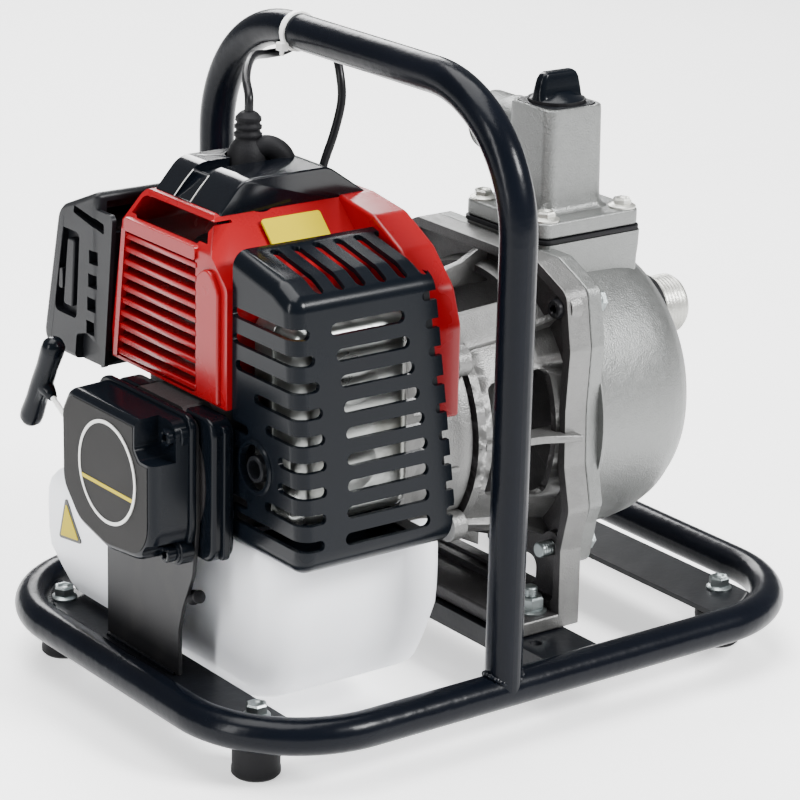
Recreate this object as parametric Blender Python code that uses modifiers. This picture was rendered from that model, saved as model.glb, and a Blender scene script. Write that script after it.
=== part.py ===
"""Portable petrol fire pump: a small two-stroke engine and a centrifugal pump on a tube frame.

Lengths below are in millimetres, and the helpers turn them into metres.  +X runs along the
crankshaft from the recoil starter to the pump inlet, +Y from the exhaust side to the air filter
side, and +Z up.  The origin is on the ground under the middle of the base ring.
"""
import math

import bmesh
import bpy
from mathutils import Vector

MM = 0.001
GAP = 0.3

# Carry frame, all in 19 mm tube
TUBE_RADIUS = 9.5
RING_HALF_LENGTH = 182.0
RING_HALF_WIDTH = 132.0
RING_BEND = 65.0
RING_HEIGHT = 29.5
HOOP_X = -35.0
HOOP_TOP = 333.0
HOOP_BEND = 69.5
STRIP_TOP = 31.0
STRIP_THICKNESS = 3.0
LEFT_STRIP = (-172.2, -146.0)
RIGHT_STRIP = (121.0, 157.0)
CHANNEL = (4.0, 40.0)
CHANNEL_TOP = 31.5
CHANNEL_BOTTOM = 20.5
FOOT_X = (-158.0, 147.0)
FOOT_Y = 92.0
FOOT_RADIUS = 12.5

# Crankshaft line, shared by engine and pump
CRANK_Y = -10.0
CRANK_Z = 138.5

# Engine, 40 mm bore and 34 mm stroke
CYLINDER_X = -110.0
BORE_RADIUS = 20.3
PISTON_RADIUS = 20.0
STROKE = 34.0
ROD_LENGTH = 58.0
CASE_FRONT = -161.7
CASE_REAR = -60.0
DECK_Z = 174.5
HEAD_Z = 246.0
SHAFT_RADIUS = 7.5
BEARING_RADIUS = 16.0
WEB_RADIUS = 24.0
WEB_GAP = 6.3
BRACKET_X = (-164.5, -162.0)
STARTER_Y = -7.0
STARTER_FACE = -190.0
STARTER_RADIUS = 44.0
PULL_DIRECTION = (0.0, 0.88, 0.475)
GRIP_CENTRE = (-182.4, 70.0, 163.5)
ROPE_DRUM_RADIUS = 14.2

# Pump
PLATE_X = (35.0, 49.0)
CASING_FRONT = 49.3
CASING_RADIUS = 78.0
CASING_END = 134.0
OUTLET_X = 84.0
OUTLET_Y = -13.0
HEAD_BASE = 231.5
HEAD_FLANGE_TOP = 240.0
TOWER_TOP = 295.0
OUTLET_Z = 274.0
INLET_Z = 170.0
THREAD_RADIUS = 16.5

COLOURS = {
    "frame_black": ((0.010, 0.012, 0.016), 0.30, 0.0),
    "gloss_black": ((0.008, 0.009, 0.011), 0.22, 0.0),
    "matt_black": ((0.020, 0.021, 0.023), 0.60, 0.0),
    "red": ((0.55, 0.012, 0.018), 0.28, 0.0),
    "cast": ((0.55, 0.55, 0.53), 0.45, 1.0),
    "dark_cast": ((0.20, 0.19, 0.18), 0.50, 1.0),
    "steel": ((0.62, 0.62, 0.62), 0.30, 1.0),
    "zinc": ((0.70, 0.73, 0.72), 0.25, 1.0),
    "brass": ((0.70, 0.50, 0.22), 0.35, 1.0),
    "rubber": ((0.012, 0.012, 0.013), 0.75, 0.0),
    "tank_white": ((0.82, 0.83, 0.84), 0.40, 0.0),
    "nylon": ((0.85, 0.85, 0.85), 0.45, 0.0),
    "foam": ((0.03, 0.03, 0.03), 0.95, 0.0),
    "plate_grey": ((0.045, 0.045, 0.045), 0.45, 0.0),
}


# ------------------------------------------------------------------ helpers

def clear_scene():
    for obj in list(bpy.data.objects):
        bpy.data.objects.remove(obj, do_unlink=True)


def new_collection(name):
    collection = bpy.data.collections.new(name)
    bpy.context.scene.collection.children.link(collection)
    return collection


def material(name):
    found = bpy.data.materials.get(name)
    if found:
        return found
    colour, roughness, metallic = COLOURS[name]
    made = bpy.data.materials.new(name)
    made.use_nodes = True
    shader = made.node_tree.nodes["Principled BSDF"]
    shader.inputs["Base Color"].default_value = (*colour, 1.0)
    shader.inputs["Roughness"].default_value = roughness
    shader.inputs["Metallic"].default_value = metallic
    return made


def place(name, data, finish, location=(0, 0, 0), rotation=(0, 0, 0)):
    """Put new data in the scene; a piece with no finish is a cutter."""
    obj = bpy.data.objects.new(name, data)
    obj.location = Vector(location) * MM
    obj.rotation_euler = rotation
    if finish is None:
        cutters.objects.link(obj)
        obj.hide_render = True
        obj.display_type = "WIRE"
    else:
        parts.objects.link(obj)
        data.materials.append(material(finish))
    return obj


def mesh_from(name, bm, angle=35):
    bmesh.ops.recalc_face_normals(bm, faces=bm.faces)
    mesh = bpy.data.meshes.new(name)
    bm.to_mesh(mesh)
    bm.free()
    mesh.shade_smooth()
    mesh.set_sharp_from_angle(angle=math.radians(angle))
    return mesh


def box(name, low, high, finish=None, bevel=0.0, segments=2):
    centre = (Vector(low) + Vector(high)) / 2
    size = (Vector(high) - Vector(low)) * MM
    bm = bmesh.new()
    bmesh.ops.create_cube(bm, size=1.0)
    bmesh.ops.scale(bm, vec=size, verts=bm.verts)
    if bevel:
        bmesh.ops.bevel(bm, geom=bm.edges[:], offset=bevel * MM, segments=segments,
                        profile=0.5, affect="EDGES")
    return place(name, mesh_from(name, bm), finish, centre)


def cylinder(name, start, end, radius, finish=None, sides=24, end_radius=None):
    start, end = Vector(start), Vector(end)
    along = end - start
    bm = bmesh.new()
    bmesh.ops.create_cone(bm, cap_ends=True, segments=sides, radius1=radius * MM,
                          radius2=(radius if end_radius is None else end_radius) * MM,
                          depth=along.length * MM)
    turn = along.to_track_quat("Z", "Y").to_euler()
    return place(name, mesh_from(name, bm), finish, (start + end) / 2, turn)


def turned(name, profile, finish=None, origin=(0, 0, 0), along="X", steps=24):
    """Turn a profile of (radius, distance) points about an axis through origin."""
    area = sum(a[0] * b[1] - b[0] * a[1] for a, b in zip(profile, profile[1:] + profile[:1]))
    if area > 0:
        profile = profile[::-1]
    closed = min(radius for radius, _ in profile) > 0
    bm = bmesh.new()
    verts = [bm.verts.new((radius * MM, 0, distance * MM)) for radius, distance in profile]
    for first, second in zip(verts, verts[1:]):
        bm.edges.new((first, second))
    if closed:
        bm.edges.new((verts[-1], verts[0]))
    mesh = bpy.data.meshes.new(name)
    bm.to_mesh(mesh)
    bm.free()
    turns = {"X": (0, math.pi / 2, 0), "Y": (-math.pi / 2, 0, 0), "Z": (0, 0, 0)}
    obj = place(name, mesh, finish, origin, turns[along])
    screw = obj.modifiers.new("turn", "SCREW")
    screw.steps = screw.render_steps = steps
    screw.use_merge_vertices = True
    screw.merge_threshold = 0.00001
    screw.use_smooth_shade = True
    return obj


def axis_profile(*points):
    """Start and end a turned solid's profile on its axis."""
    return [(0, points[0][1]), *points, (0, points[-1][1])]


def rounded_outline(corners, radius, steps=4, closed=True):
    """Replace each corner of a 2D outline by an arc; radius may be one number or a list."""
    points = []
    count = len(corners)
    for index, corner in enumerate(corners):
        size = radius[index] if isinstance(radius, (list, tuple)) else radius
        if size == 0 or (not closed and index in (0, count - 1)):
            points.append(tuple(corner))
            continue
        here = Vector(corner)
        back = (Vector(corners[index - 1]) - here).normalized()
        ahead = (Vector(corners[(index + 1) % count]) - here).normalized()
        half = back.angle(ahead) / 2
        centre = here + (back + ahead).normalized() * size / math.sin(half)
        start = here + back * size / math.tan(half) - centre
        end = here + ahead * size / math.tan(half) - centre
        sweep = start.angle_signed(end)
        for step in range(steps + 1):
            angle = -sweep * step / steps
            turn_x = start.x * math.cos(angle) - start.y * math.sin(angle)
            turn_y = start.x * math.sin(angle) + start.y * math.cos(angle)
            points.append((centre.x + turn_x, centre.y + turn_y))
    return points


def circle(centre, radius, steps=16):
    return [(centre[0] + radius * math.cos(2 * math.pi * step / steps),
             centre[1] + radius * math.sin(2 * math.pi * step / steps)) for step in range(steps)]


def curve_mesh(obj, finish):
    """Turn a curve object into a mesh object of the same name and place."""
    name = obj.name
    bpy.context.view_layer.update()
    evaluated = obj.evaluated_get(bpy.context.evaluated_depsgraph_get())
    mesh = bpy.data.meshes.new_from_object(evaluated)
    matrix = obj.matrix_world.copy()
    bpy.data.objects.remove(obj, do_unlink=True)
    bm = bmesh.new()
    bm.from_mesh(mesh)
    bmesh.ops.remove_doubles(bm, verts=bm.verts, dist=0.00001)
    bm.to_mesh(mesh)
    bm.free()
    mesh.materials.clear()
    mesh.shade_smooth()
    mesh.set_sharp_from_angle(angle=math.radians(35))
    made = place(name, mesh, finish)
    made.matrix_world = matrix
    return made


def plate(name, outline, low, high, finish=None, plane="YZ", holes=()):
    """Extrude a flat outline between two distances along the plane's normal."""
    curve = bpy.data.curves.new(name, "CURVE")
    curve.dimensions = "2D"
    curve.fill_mode = "BOTH"
    curve.extrude = (high - low) / 2 * MM
    for loop in (outline, *holes):
        spline = curve.splines.new("POLY")
        spline.points.add(len(loop) - 1)
        for point, (across, up) in zip(spline.points, loop):
            point.co = (across * MM, up * MM, 0, 1)
        spline.use_cyclic_u = True
    middle = (low + high) / 2
    spots = {"YZ": (middle, 0, 0), "XZ": (0, middle, 0), "XY": (0, 0, middle)}
    turns = {"YZ": (math.pi / 2, 0, math.pi / 2), "XZ": (math.pi / 2, 0, 0), "XY": (0, 0, 0)}
    return curve_mesh(place(name, curve, "steel", spots[plane], turns[plane]), finish)


def wire(name, points, radius, finish, cyclic=False, resolution=2):
    """A round tube along a list of points."""
    curve = bpy.data.curves.new(name, "CURVE")
    curve.dimensions = "3D"
    curve.bevel_depth = radius * MM
    curve.bevel_resolution = resolution
    curve.use_fill_caps = not cyclic
    spline = curve.splines.new("POLY")
    spline.points.add(len(points) - 1)
    for point, spot in zip(spline.points, points):
        point.co = (*(Vector(spot) * MM), 1)
    spline.use_cyclic_u = cyclic
    return place(name, curve, finish)


def smooth_route(points, per_span=4):
    """Points along a Catmull-Rom curve through a route."""
    ends = [points[0]] + list(points) + [points[-1]]
    route = []
    for before, start, end, after in zip(ends, ends[1:], ends[2:], ends[3:]):
        before, start, end, after = map(Vector, (before, start, end, after))
        for step in range(per_span):
            t = step / per_span
            route.append(0.5 * (2 * start + (end - before) * t
                                + (2 * before - 5 * start + 4 * end - after) * t ** 2
                                + (3 * start - before - 3 * end + after) * t ** 3))
    route.append(Vector(points[-1]))
    return route


def combine(obj, other, operation):
    modifier = obj.modifiers.new(other.name, "BOOLEAN")
    modifier.operation = operation
    modifier.object = other
    other.hide_render = True
    other.display_type = "WIRE"
    return obj


def cut(obj, *others):
    for other in others:
        combine(obj, other, "DIFFERENCE")
    return obj


def join(obj, *others):
    for other in others:
        combine(obj, other, "UNION")
    return obj


# ------------------------------------------------------------------ carry frame

def ring_inner_y(x):
    """Half width between the rails at x, inside the base ring."""
    straight = RING_HALF_LENGTH - RING_BEND
    inside = RING_BEND - TUBE_RADIUS - GAP
    beyond = max(abs(x) - straight, 0)
    return RING_HALF_WIDTH - RING_BEND + math.sqrt(inside ** 2 - min(beyond, inside) ** 2)


def make_frame():
    corners = [(-RING_HALF_LENGTH, -RING_HALF_WIDTH), (RING_HALF_LENGTH, -RING_HALF_WIDTH),
               (RING_HALF_LENGTH, RING_HALF_WIDTH), (-RING_HALF_LENGTH, RING_HALF_WIDTH)]
    ring = rounded_outline(corners, RING_BEND, steps=8)
    wire("base_ring", [(x, y, RING_HEIGHT) for x, y in ring], TUBE_RADIUS, "frame_black",
         cyclic=True, resolution=4)

    path = [(-RING_HALF_WIDTH, RING_HEIGHT), (-RING_HALF_WIDTH, HOOP_TOP),
            (RING_HALF_WIDTH, HOOP_TOP), (RING_HALF_WIDTH, RING_HEIGHT)]
    bent = rounded_outline(path, HOOP_BEND, steps=9, closed=False)
    hoop = curve_mesh(wire("handle_hoop", [(HOOP_X, y, z) for y, z in bent], TUBE_RADIUS,
                           "frame_black", resolution=4), "frame_black")
    for side, y in (("near", -RING_HALF_WIDTH), ("far", RING_HALF_WIDTH)):
        cut(hoop, cylinder(f"saddle_{side}", (HOOP_X - 20, y, RING_HEIGHT),
                           (HOOP_X + 20, y, RING_HEIGHT), TUBE_RADIUS + GAP, sides=32))

    for name, (low, high), foot_x in (("left_strip", LEFT_STRIP, FOOT_X[0]),
                                      ("right_strip", RIGHT_STRIP, FOOT_X[1])):
        columns = [low + (high - low) * step / 6 for step in range(7)]
        near = [(x, -ring_inner_y(x)) for x in columns]
        far = [(x, ring_inner_y(x)) for x in reversed(columns)]
        holes = [circle((foot_x, side * FOOT_Y), 3.3, 12) for side in (-1, 1)]
        plate(name, near + far, STRIP_TOP - STRIP_THICKNESS, STRIP_TOP, "frame_black", "XY", holes)

    low, high = CHANNEL
    wall = STRIP_THICKNESS
    profile = [(low, CHANNEL_BOTTOM), (low, CHANNEL_TOP), (high, CHANNEL_TOP),
               (high, CHANNEL_BOTTOM), (high - wall, CHANNEL_BOTTOM),
               (high - wall, CHANNEL_TOP - wall), (low + wall, CHANNEL_TOP - wall),
               (low + wall, CHANNEL_BOTTOM)]
    length = RING_HALF_WIDTH - TUBE_RADIUS - GAP
    channel = plate("middle_channel", profile, -length, length, "frame_black", "XZ")
    for y in PUMP_BOLT_Y:
        cut(channel, cylinder("channel_hole", (PUMP_BOLT_X, y, CHANNEL_TOP - 6),
                              (PUMP_BOLT_X, y, CHANNEL_TOP + 2), 4.3, sides=12))

    for x, along in zip(FOOT_X, ("left", "right")):
        for side, across in ((-1, "near"), (1, "far")):
            top = STRIP_TOP - STRIP_THICKNESS - GAP
            profile = [(0, 0), (FOOT_RADIUS - 1.5, 0), (FOOT_RADIUS, 1.5), (FOOT_RADIUS, 19.6),
                       (6, 19.6), (6, top), (3.3, top), (3.3, 12), (0, 12)]
            turned(f"foot_{along}_{across}", profile, "rubber", (x, side * FOOT_Y, 0), "Z", 20)


PUMP_BOLT_X = 26.0
PUMP_BOLT_Y = (-77.0, 57.0)


def make_pump_bolts():
    """M8 bolts that come up through the channel and the pump foot, each with its nut."""
    for name, y in zip(("pump_bolt_near", "pump_bolt_far"), PUMP_BOLT_Y):
        under = CHANNEL_TOP - STRIP_THICKNESS - GAP
        bolt = turned(name, axis_profile((4.0, under - 2), (4.0, 54)), "zinc",
                      (PUMP_BOLT_X, y, 0), "Z", 12)
        top = FOOT_TOP + GAP
        join(bolt,
             cylinder(name + "_head", (PUMP_BOLT_X, y, under - 5.5), (PUMP_BOLT_X, y, under),
                      7.3, sides=6),
             cylinder(name + "_washer", (PUMP_BOLT_X, y, top), (PUMP_BOLT_X, y, top + 1.6), 8.8,
                      sides=20),
             cylinder(name + "_nut", (PUMP_BOLT_X, y, top + 1.4), (PUMP_BOLT_X, y, top + 8.4),
                      7.3, sides=6))


# ------------------------------------------------------------------ engine

def make_bracket():
    outline = [(-31, STRIP_TOP + GAP), (37, STRIP_TOP + GAP), (37, 172), (-44, 172), (-47, 120),
               (-43, 92), (-34, 72), (-31, 58)]
    holes = [circle((CRANK_Y, CRANK_Z), 27, 24)]
    holes += [circle(spot, 2.9, 10) for spot in STARTER_SCREWS]
    plate("engine_bracket", outline, *BRACKET_X, "plate_grey", "YZ", holes)


STARTER_SCREWS = [(-33.0, 103.0), (-33.0, 168.0), (13.0, 103.0), (13.0, 168.0)]


def make_crankcase():
    seat, lip, room = BEARING_RADIUS + GAP, 12.5, 34.0
    profile = [(41, CASE_FRONT), (41, CASE_REAR), (seat, CASE_REAR), (seat, -70.3), (lip, -70.3),
               (lip, -76), (room, -76), (room, -144), (lip, -144), (lip, -151.2),
               (seat, -151.2), (seat, CASE_FRONT)]
    case = turned("crankcase", profile, "dark_cast", (0, CRANK_Y, CRANK_Z), "X", 28)
    join(case, box("deck", (-146, CRANK_Y - 34, 160), (-74, CRANK_Y + 34, DECK_Z)))
    cut(case, box("deck_face", (-170, -60, DECK_Z), (-50, 60, 190)))
    cut(case, cylinder("deck_opening", (CYLINDER_X, CRANK_Y, CRANK_Z),
                       (CYLINDER_X, CRANK_Y, DECK_Z + 5), 24, sides=28))


def make_cylinder():
    base = DECK_Z + GAP
    profile = [(BORE_RADIUS, base), (34, base), (34, base + 6), (27, base + 6)]
    for fin in range(6):
        height = 190 + fin * 10
        reach = 36.4 if fin < 5 else 29.5
        profile += [(27, height), (reach, height), (reach, height + 2), (27, height + 2)]
    profile += [(27, HEAD_Z), (7.3, HEAD_Z), (7.3, 238), (BORE_RADIUS, 233.5)]
    barrel = turned("cylinder", profile, "dark_cast", (CYLINDER_X, CRANK_Y, 0), "Z", 20)
    join(barrel,
         box("exhaust_port", (-124, CRANK_Y - 42, 186), (-96, CRANK_Y - 24, 212)),
         box("intake_port", (-124, CRANK_Y + 24, 186), (-96, CRANK_Y + 42, 212)))


def make_crank_train():
    rear_web = CYLINDER_X + WEB_GAP
    front_web = CYLINDER_X - WEB_GAP
    centre = (0, CRANK_Y, CRANK_Z)
    turned("crank_front", axis_profile((SHAFT_RADIUS, -177), (SHAFT_RADIUS, front_web - 10),
                                       (WEB_RADIUS, front_web - 10), (WEB_RADIUS, front_web)),
           "steel", centre)
    turned("crank_rear", axis_profile((WEB_RADIUS, rear_web), (WEB_RADIUS, rear_web + 10),
                                      (SHAFT_RADIUS, rear_web + 10), (SHAFT_RADIUS, 66),
                                      (6, 66), (6, 96)),
           "steel", centre)
    ring = SHAFT_RADIUS + GAP
    for name, low, high in (("bearing_front", -161, -151.6), ("bearing_rear", -70, -60.6)):
        turned(name, [(ring, low), (BEARING_RADIUS, low), (BEARING_RADIUS, high), (ring, high)],
               "steel", centre)
    cup = turned("starter_cup", [(ring, -166), (22, -166), (22, -174), (19, -174), (19, -169),
                                 (ring, -169)], "steel", centre)
    for step in range(3):
        angle = 2 * math.pi * step / 3
        away = (0, math.cos(angle), math.sin(angle))
        spot = Vector((-172.5, CRANK_Y, CRANK_Z))
        cut(cup, cylinder(f"notch_{step}", spot + Vector(away) * 15, spot + Vector(away) * 26, 2.5,
                          sides=8))

    star = []
    for vane in range(12):
        middle = 2 * math.pi * vane / 12
        for radius, offset in ((17, -4.5), (56, -1.4), (56, 1.4), (17, 4.5)):
            angle = middle + math.radians(offset)
            star.append((CRANK_Y + radius * math.cos(angle), CRANK_Z + radius * math.sin(angle)))
    disc = turned("flywheel", [(ring, -50), (58, -50), (58, -44), (20, -44), (20, -30),
                               (ring, -30)], "cast", centre)
    join(disc, plate("vanes", star, -45, -24, None, "YZ", [circle((CRANK_Y, CRANK_Z), 12, 16)]))

    blades = []
    for blade in range(6):
        for radius, lead in ((15, -8), (30, 4), (48, 22), (50, 26), (33, 14), (17, 8)):
            angle = 2 * math.pi * blade / 6 + math.radians(lead)
            blades.append((CRANK_Y + radius * math.cos(angle), CRANK_Z + radius * math.sin(angle)))
    wheel = turned("impeller", [(6 + GAP, 70), (52, 70), (52, 74), (14, 76), (14, 92),
                                (6 + GAP, 92)], "dark_cast", centre, "X", 28)
    join(wheel, plate("blades", blades, 73, 84, None, "YZ", [circle((CRANK_Y, CRANK_Z), 10, 16)]))
    turned("mechanical_seal", [(SHAFT_RADIUS + GAP, 37), (16.2, 37), (16.2, 47), (12, 52),
                               (SHAFT_RADIUS + GAP, 52)], "rubber", centre, "X", 20)


def rod_outline():
    big, small = CRANK_Z + STROKE / 2, CRANK_Z + STROKE / 2 + ROD_LENGTH
    outline = []
    for centre, radius, first in ((big, 10.5, 155), (small, 8.5, -25)):
        for step in range(10):
            angle = math.radians(first + 230 * step / 9)
            outline.append((CRANK_Y + radius * math.cos(angle), centre + radius * math.sin(angle)))
    return outline


def make_piston():
    crown = CRANK_Z + STROKE / 2 + ROD_LENGTH + 17
    wrist = CRANK_Z + STROKE / 2 + ROD_LENGTH
    turned("piston", [(0, crown), (PISTON_RADIUS, crown), (PISTON_RADIUS, crown - 33),
                      (17.3, crown - 33), (17.3, crown - 6), (0, crown - 6)], "cast",
           (CYLINDER_X, CRANK_Y, 0), "Z", 24)
    cylinder("wrist_pin", (CYLINDER_X - 15.5, CRANK_Y, wrist), (CYLINDER_X + 15.5, CRANK_Y, wrist),
             4.8, "steel", 16)
    holes = [circle((CRANK_Y, CRANK_Z + STROKE / 2), 6.2), circle((CRANK_Y, wrist), 5.1)]
    plate("connecting_rod", rod_outline(), CYLINDER_X - 4.5, CYLINDER_X + 4.5, "steel", "YZ", holes)
    pin = CRANK_Z + STROKE / 2
    cylinder("crank_pin", (CYLINDER_X - WEB_GAP + 0.5, CRANK_Y, pin),
             (CYLINDER_X + WEB_GAP - 0.5, CRANK_Y, pin), 5.9, "steel", 16)


def make_ignition():
    turned("spark_plug", axis_profile((2.5, 236), (6.9, 238), (6.9, HEAD_Z), (6.9, HEAD_Z + 0.4),
                                      (11, HEAD_Z + 0.4), (11, 256), (7, 257), (6, 274), (3, 277),
                                      (3, 286)), "nylon", (CYLINDER_X + 7, CRANK_Y, 0), "Z", 16)
    bpy.data.objects["spark_plug"].location.x = CYLINDER_X * MM
    boot = turned("plug_boot", [(3.4, 288), (3.4, 279), (8, 279), (10, 284), (12, 290), (13.5, 293),
                                (13.5, 297), (11, 298.5), (13, 300), (13, 303), (10.5, 304.5),
                                (11.5, 306), (11, 312), (5, 314), (3.0, 314), (3.0, 290)],
                  "rubber", (CYLINDER_X, CRANK_Y, 0), "Z", 16)
    boot.location = Vector((CYLINDER_X, CRANK_Y, 0)) * MM
    box("ignition_coil", (-50, 8, 222), (-24, 40, 246), "matt_black", 2)
    wire("ignition_lead", smooth_route(LEAD_ROUTE), 2.5, "rubber")


LEAD_ROUTE = [(-42, 23, 246.5), (-42, 24, 256), (-38, 27, 268), (-30, 29, 284), (-25, 30, 300),
              (-24, 33, 313), (-21.6, 42, 325), (-21.6, 50, 331), (-21.6, 58, 331.5),
              (-22.5, 66, 327), (-30, 73, 319.5), (-42, 73, 318.5), (-56, 64, 321),
              (-70, 49, 322), (-88, 26, 326), (-103, 4, 324), (-109, -8, 318),
              (CYLINDER_X, CRANK_Y, 309), (CYLINDER_X, CRANK_Y, 296)]


def make_covers():
    """Red cooling shroud, black top cover and their louvres."""
    low = DECK_Z + 2
    section = [(-52, low), (-52, 236), (-22, 264), (46, 264), (50, 258), (54, low)]
    shroud = plate("engine_shroud", rounded_outline(section, [0, 6, 8, 4, 6, 0], 3), -150, -61,
                   "red", "YZ")
    room = [(-49, 140), (-49, 234.8), (-20.8, 261.2), (45, 261.2), (47, 257), (51.2, 140)]
    collar = [(-98, 160), (-100, 215), (-92, 233), (-75, 250), (-52, 262), (-20, 264), (40, 264),
              (60, 250), (62, 215), (62, 160)]
    hollow = [(-95, 150), (-97, 214), (-90, 231), (-73, 247), (-51, 258.6), (-20, 261), (38, 261),
              (57.4, 248), (59, 214), (59, 150)]
    join(shroud, plate("collar", rounded_outline(collar, [0, 8, 8, 8, 8, 8, 8, 8, 8, 0], 2),
                       -63, -44, None, "YZ"))
    cut(shroud,
        plate("collar_room", hollow, -60, -20, None, "YZ"),
        plate("shroud_room", room, -147, -20, None, "YZ"),
        cylinder("plug_hole", (CYLINDER_X, CRANK_Y, 255), (CYLINDER_X, CRANK_Y, 275), 14,
                 sides=24),
        box("exhaust_gap", (-127, -60, 183), (-93, -44, 215)),
        box("intake_gap", (-129, 44, 160), (-72, 70, 226)),
        box("lead_slot", (-56, 10, 255), (-30, 34, 275)),
        box("front_window", (-155, -24, 249.5), (-140, 38, 260)))
    for slat in range(8):
        height = 180 + slat * 8.4
        cut(shroud, box(f"louvre_{slat}", (-155, -22, height), (-142, 42, height + 4.6)))

    crown = [(-138, 264.6), (-140, 270), (-126, 291), (-70, 291), (-56, 280), (-50, 264.6)]
    cover = plate("top_cover", rounded_outline(crown, [0, 2, 5, 6, 6, 0], 3), -28, 40,
                  "gloss_black", "XZ")
    cut(cover, cylinder("plug_well", (CYLINDER_X, CRANK_Y, 255), (CYLINDER_X, CRANK_Y, 300), 15,
                        sides=24))
    cut(cover, box("plug_room", (-135, -22, 255), (-56, 36, 286)))
    cut(cover, box("lead_gap", (-60, 12, 260), (-40, 34, 300)))


def make_exhaust():
    muffler = box("muffler", (-138, -96, 124), (-69, CRANK_Y - 42.4, 226), "steel", 9, 2)
    join(muffler, cylinder("exhaust_pipe", (-152, -71, 149.5), (-130, -71, 149.5), 8, sides=16))
    cut(muffler, cylinder("exhaust_bore", (-160, -71, 149.5), (-136, -71, 149.5), 6, sides=16))

    guard = plate("muffler_guard", guard_section(0), -147, -63.4, "gloss_black", "YZ")
    cut(guard, plate("guard_room", guard_section(3), -144, -60, None, "YZ"))
    for slot in range(8):
        height = 124 + slot * 14.3
        lean = 0.1 * (height - 110)
        cut(guard, box(f"front_slot_{slot}", (-124, -120, height), (-80, -98 + lean, height + 6.5)))
        cut(guard, box(f"corner_slot_{slot}", (-150, -120, height - 2),
                       (-138, -100 + lean, height + 4)))
    for slot in range(6):
        left = -139 + slot * 12.6
        cut(guard, box(f"top_slot_{slot}", (left, -98, 236), (left + 5, -66, 270)))
    cut(guard, cylinder("pipe_hole", (-155, -71, 149.5), (-140, -71, 149.5), 13, sides=20))


def guard_section(inset):
    corners = [(-52.3, 118), (-115 + inset, 110 + inset), (-102 + inset, 240 - inset),
               (-66, 258 - inset), (-52.3, 259 - inset)]
    if inset:
        corners[0] = (-40, 118)
        corners[-1] = (-40, 259 - inset)
    return rounded_outline(corners, [0, 8, 14, 4, 0], 3)


def make_intake():
    carburettor = box("carburettor", (-124, CRANK_Y + 42.4, 184), (-96, 62, 214), "cast", 2)
    join(carburettor, cylinder("float_bowl", (CYLINDER_X, 47, 172), (CYLINDER_X, 47, 186), 11,
                               sides=16))
    lever = plate("throttle_lever", rounded_outline([(40, 200), (56, 200), (56, 208), (40, 208)],
                                                    3, 2), -95.6, -93.8, "zinc", "YZ")
    join(lever, cylinder("throttle_pin", (-94, 47, 204), (-90.5, 47, 204), 3, sides=10))
    bulb = turned("primer_bulb", axis_profile((9, 0.3), (9, 3), (8, 7), (4.5, 10)), "nylon",
                  (CYLINDER_X, 47, 161.3), "Z", 16)
    bulb.rotation_euler = (math.pi, 0, 0)
    bulb.location = Vector((CYLINDER_X, 47, 171.7)) * MM

    outline = [(62.4, 172), (121, 168), (103, 247), (62.4, 262)]
    cover = plate("air_filter_cover", rounded_outline(outline, [0, 6, 10, 0], 3), -154, -92,
                  "matt_black", "YZ")
    inner = [(50, 174.5), (116.5, 171.5), (99, 244), (50, 258)]
    cut(cover, plate("filter_room", rounded_outline(inner, [0, 4, 8, 0], 2), -151, -95, None, "YZ"))
    box("air_filter_base", (-150, 58, 178), (-127, 61, 240), "matt_black")
    box("air_filter_element", (-148, 66, 182), (-98, 94, 240), "foam")
    box("choke_lever", (-114, 48, 214.3), (-86, 56, 216.8), "gloss_black", 1)


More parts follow.
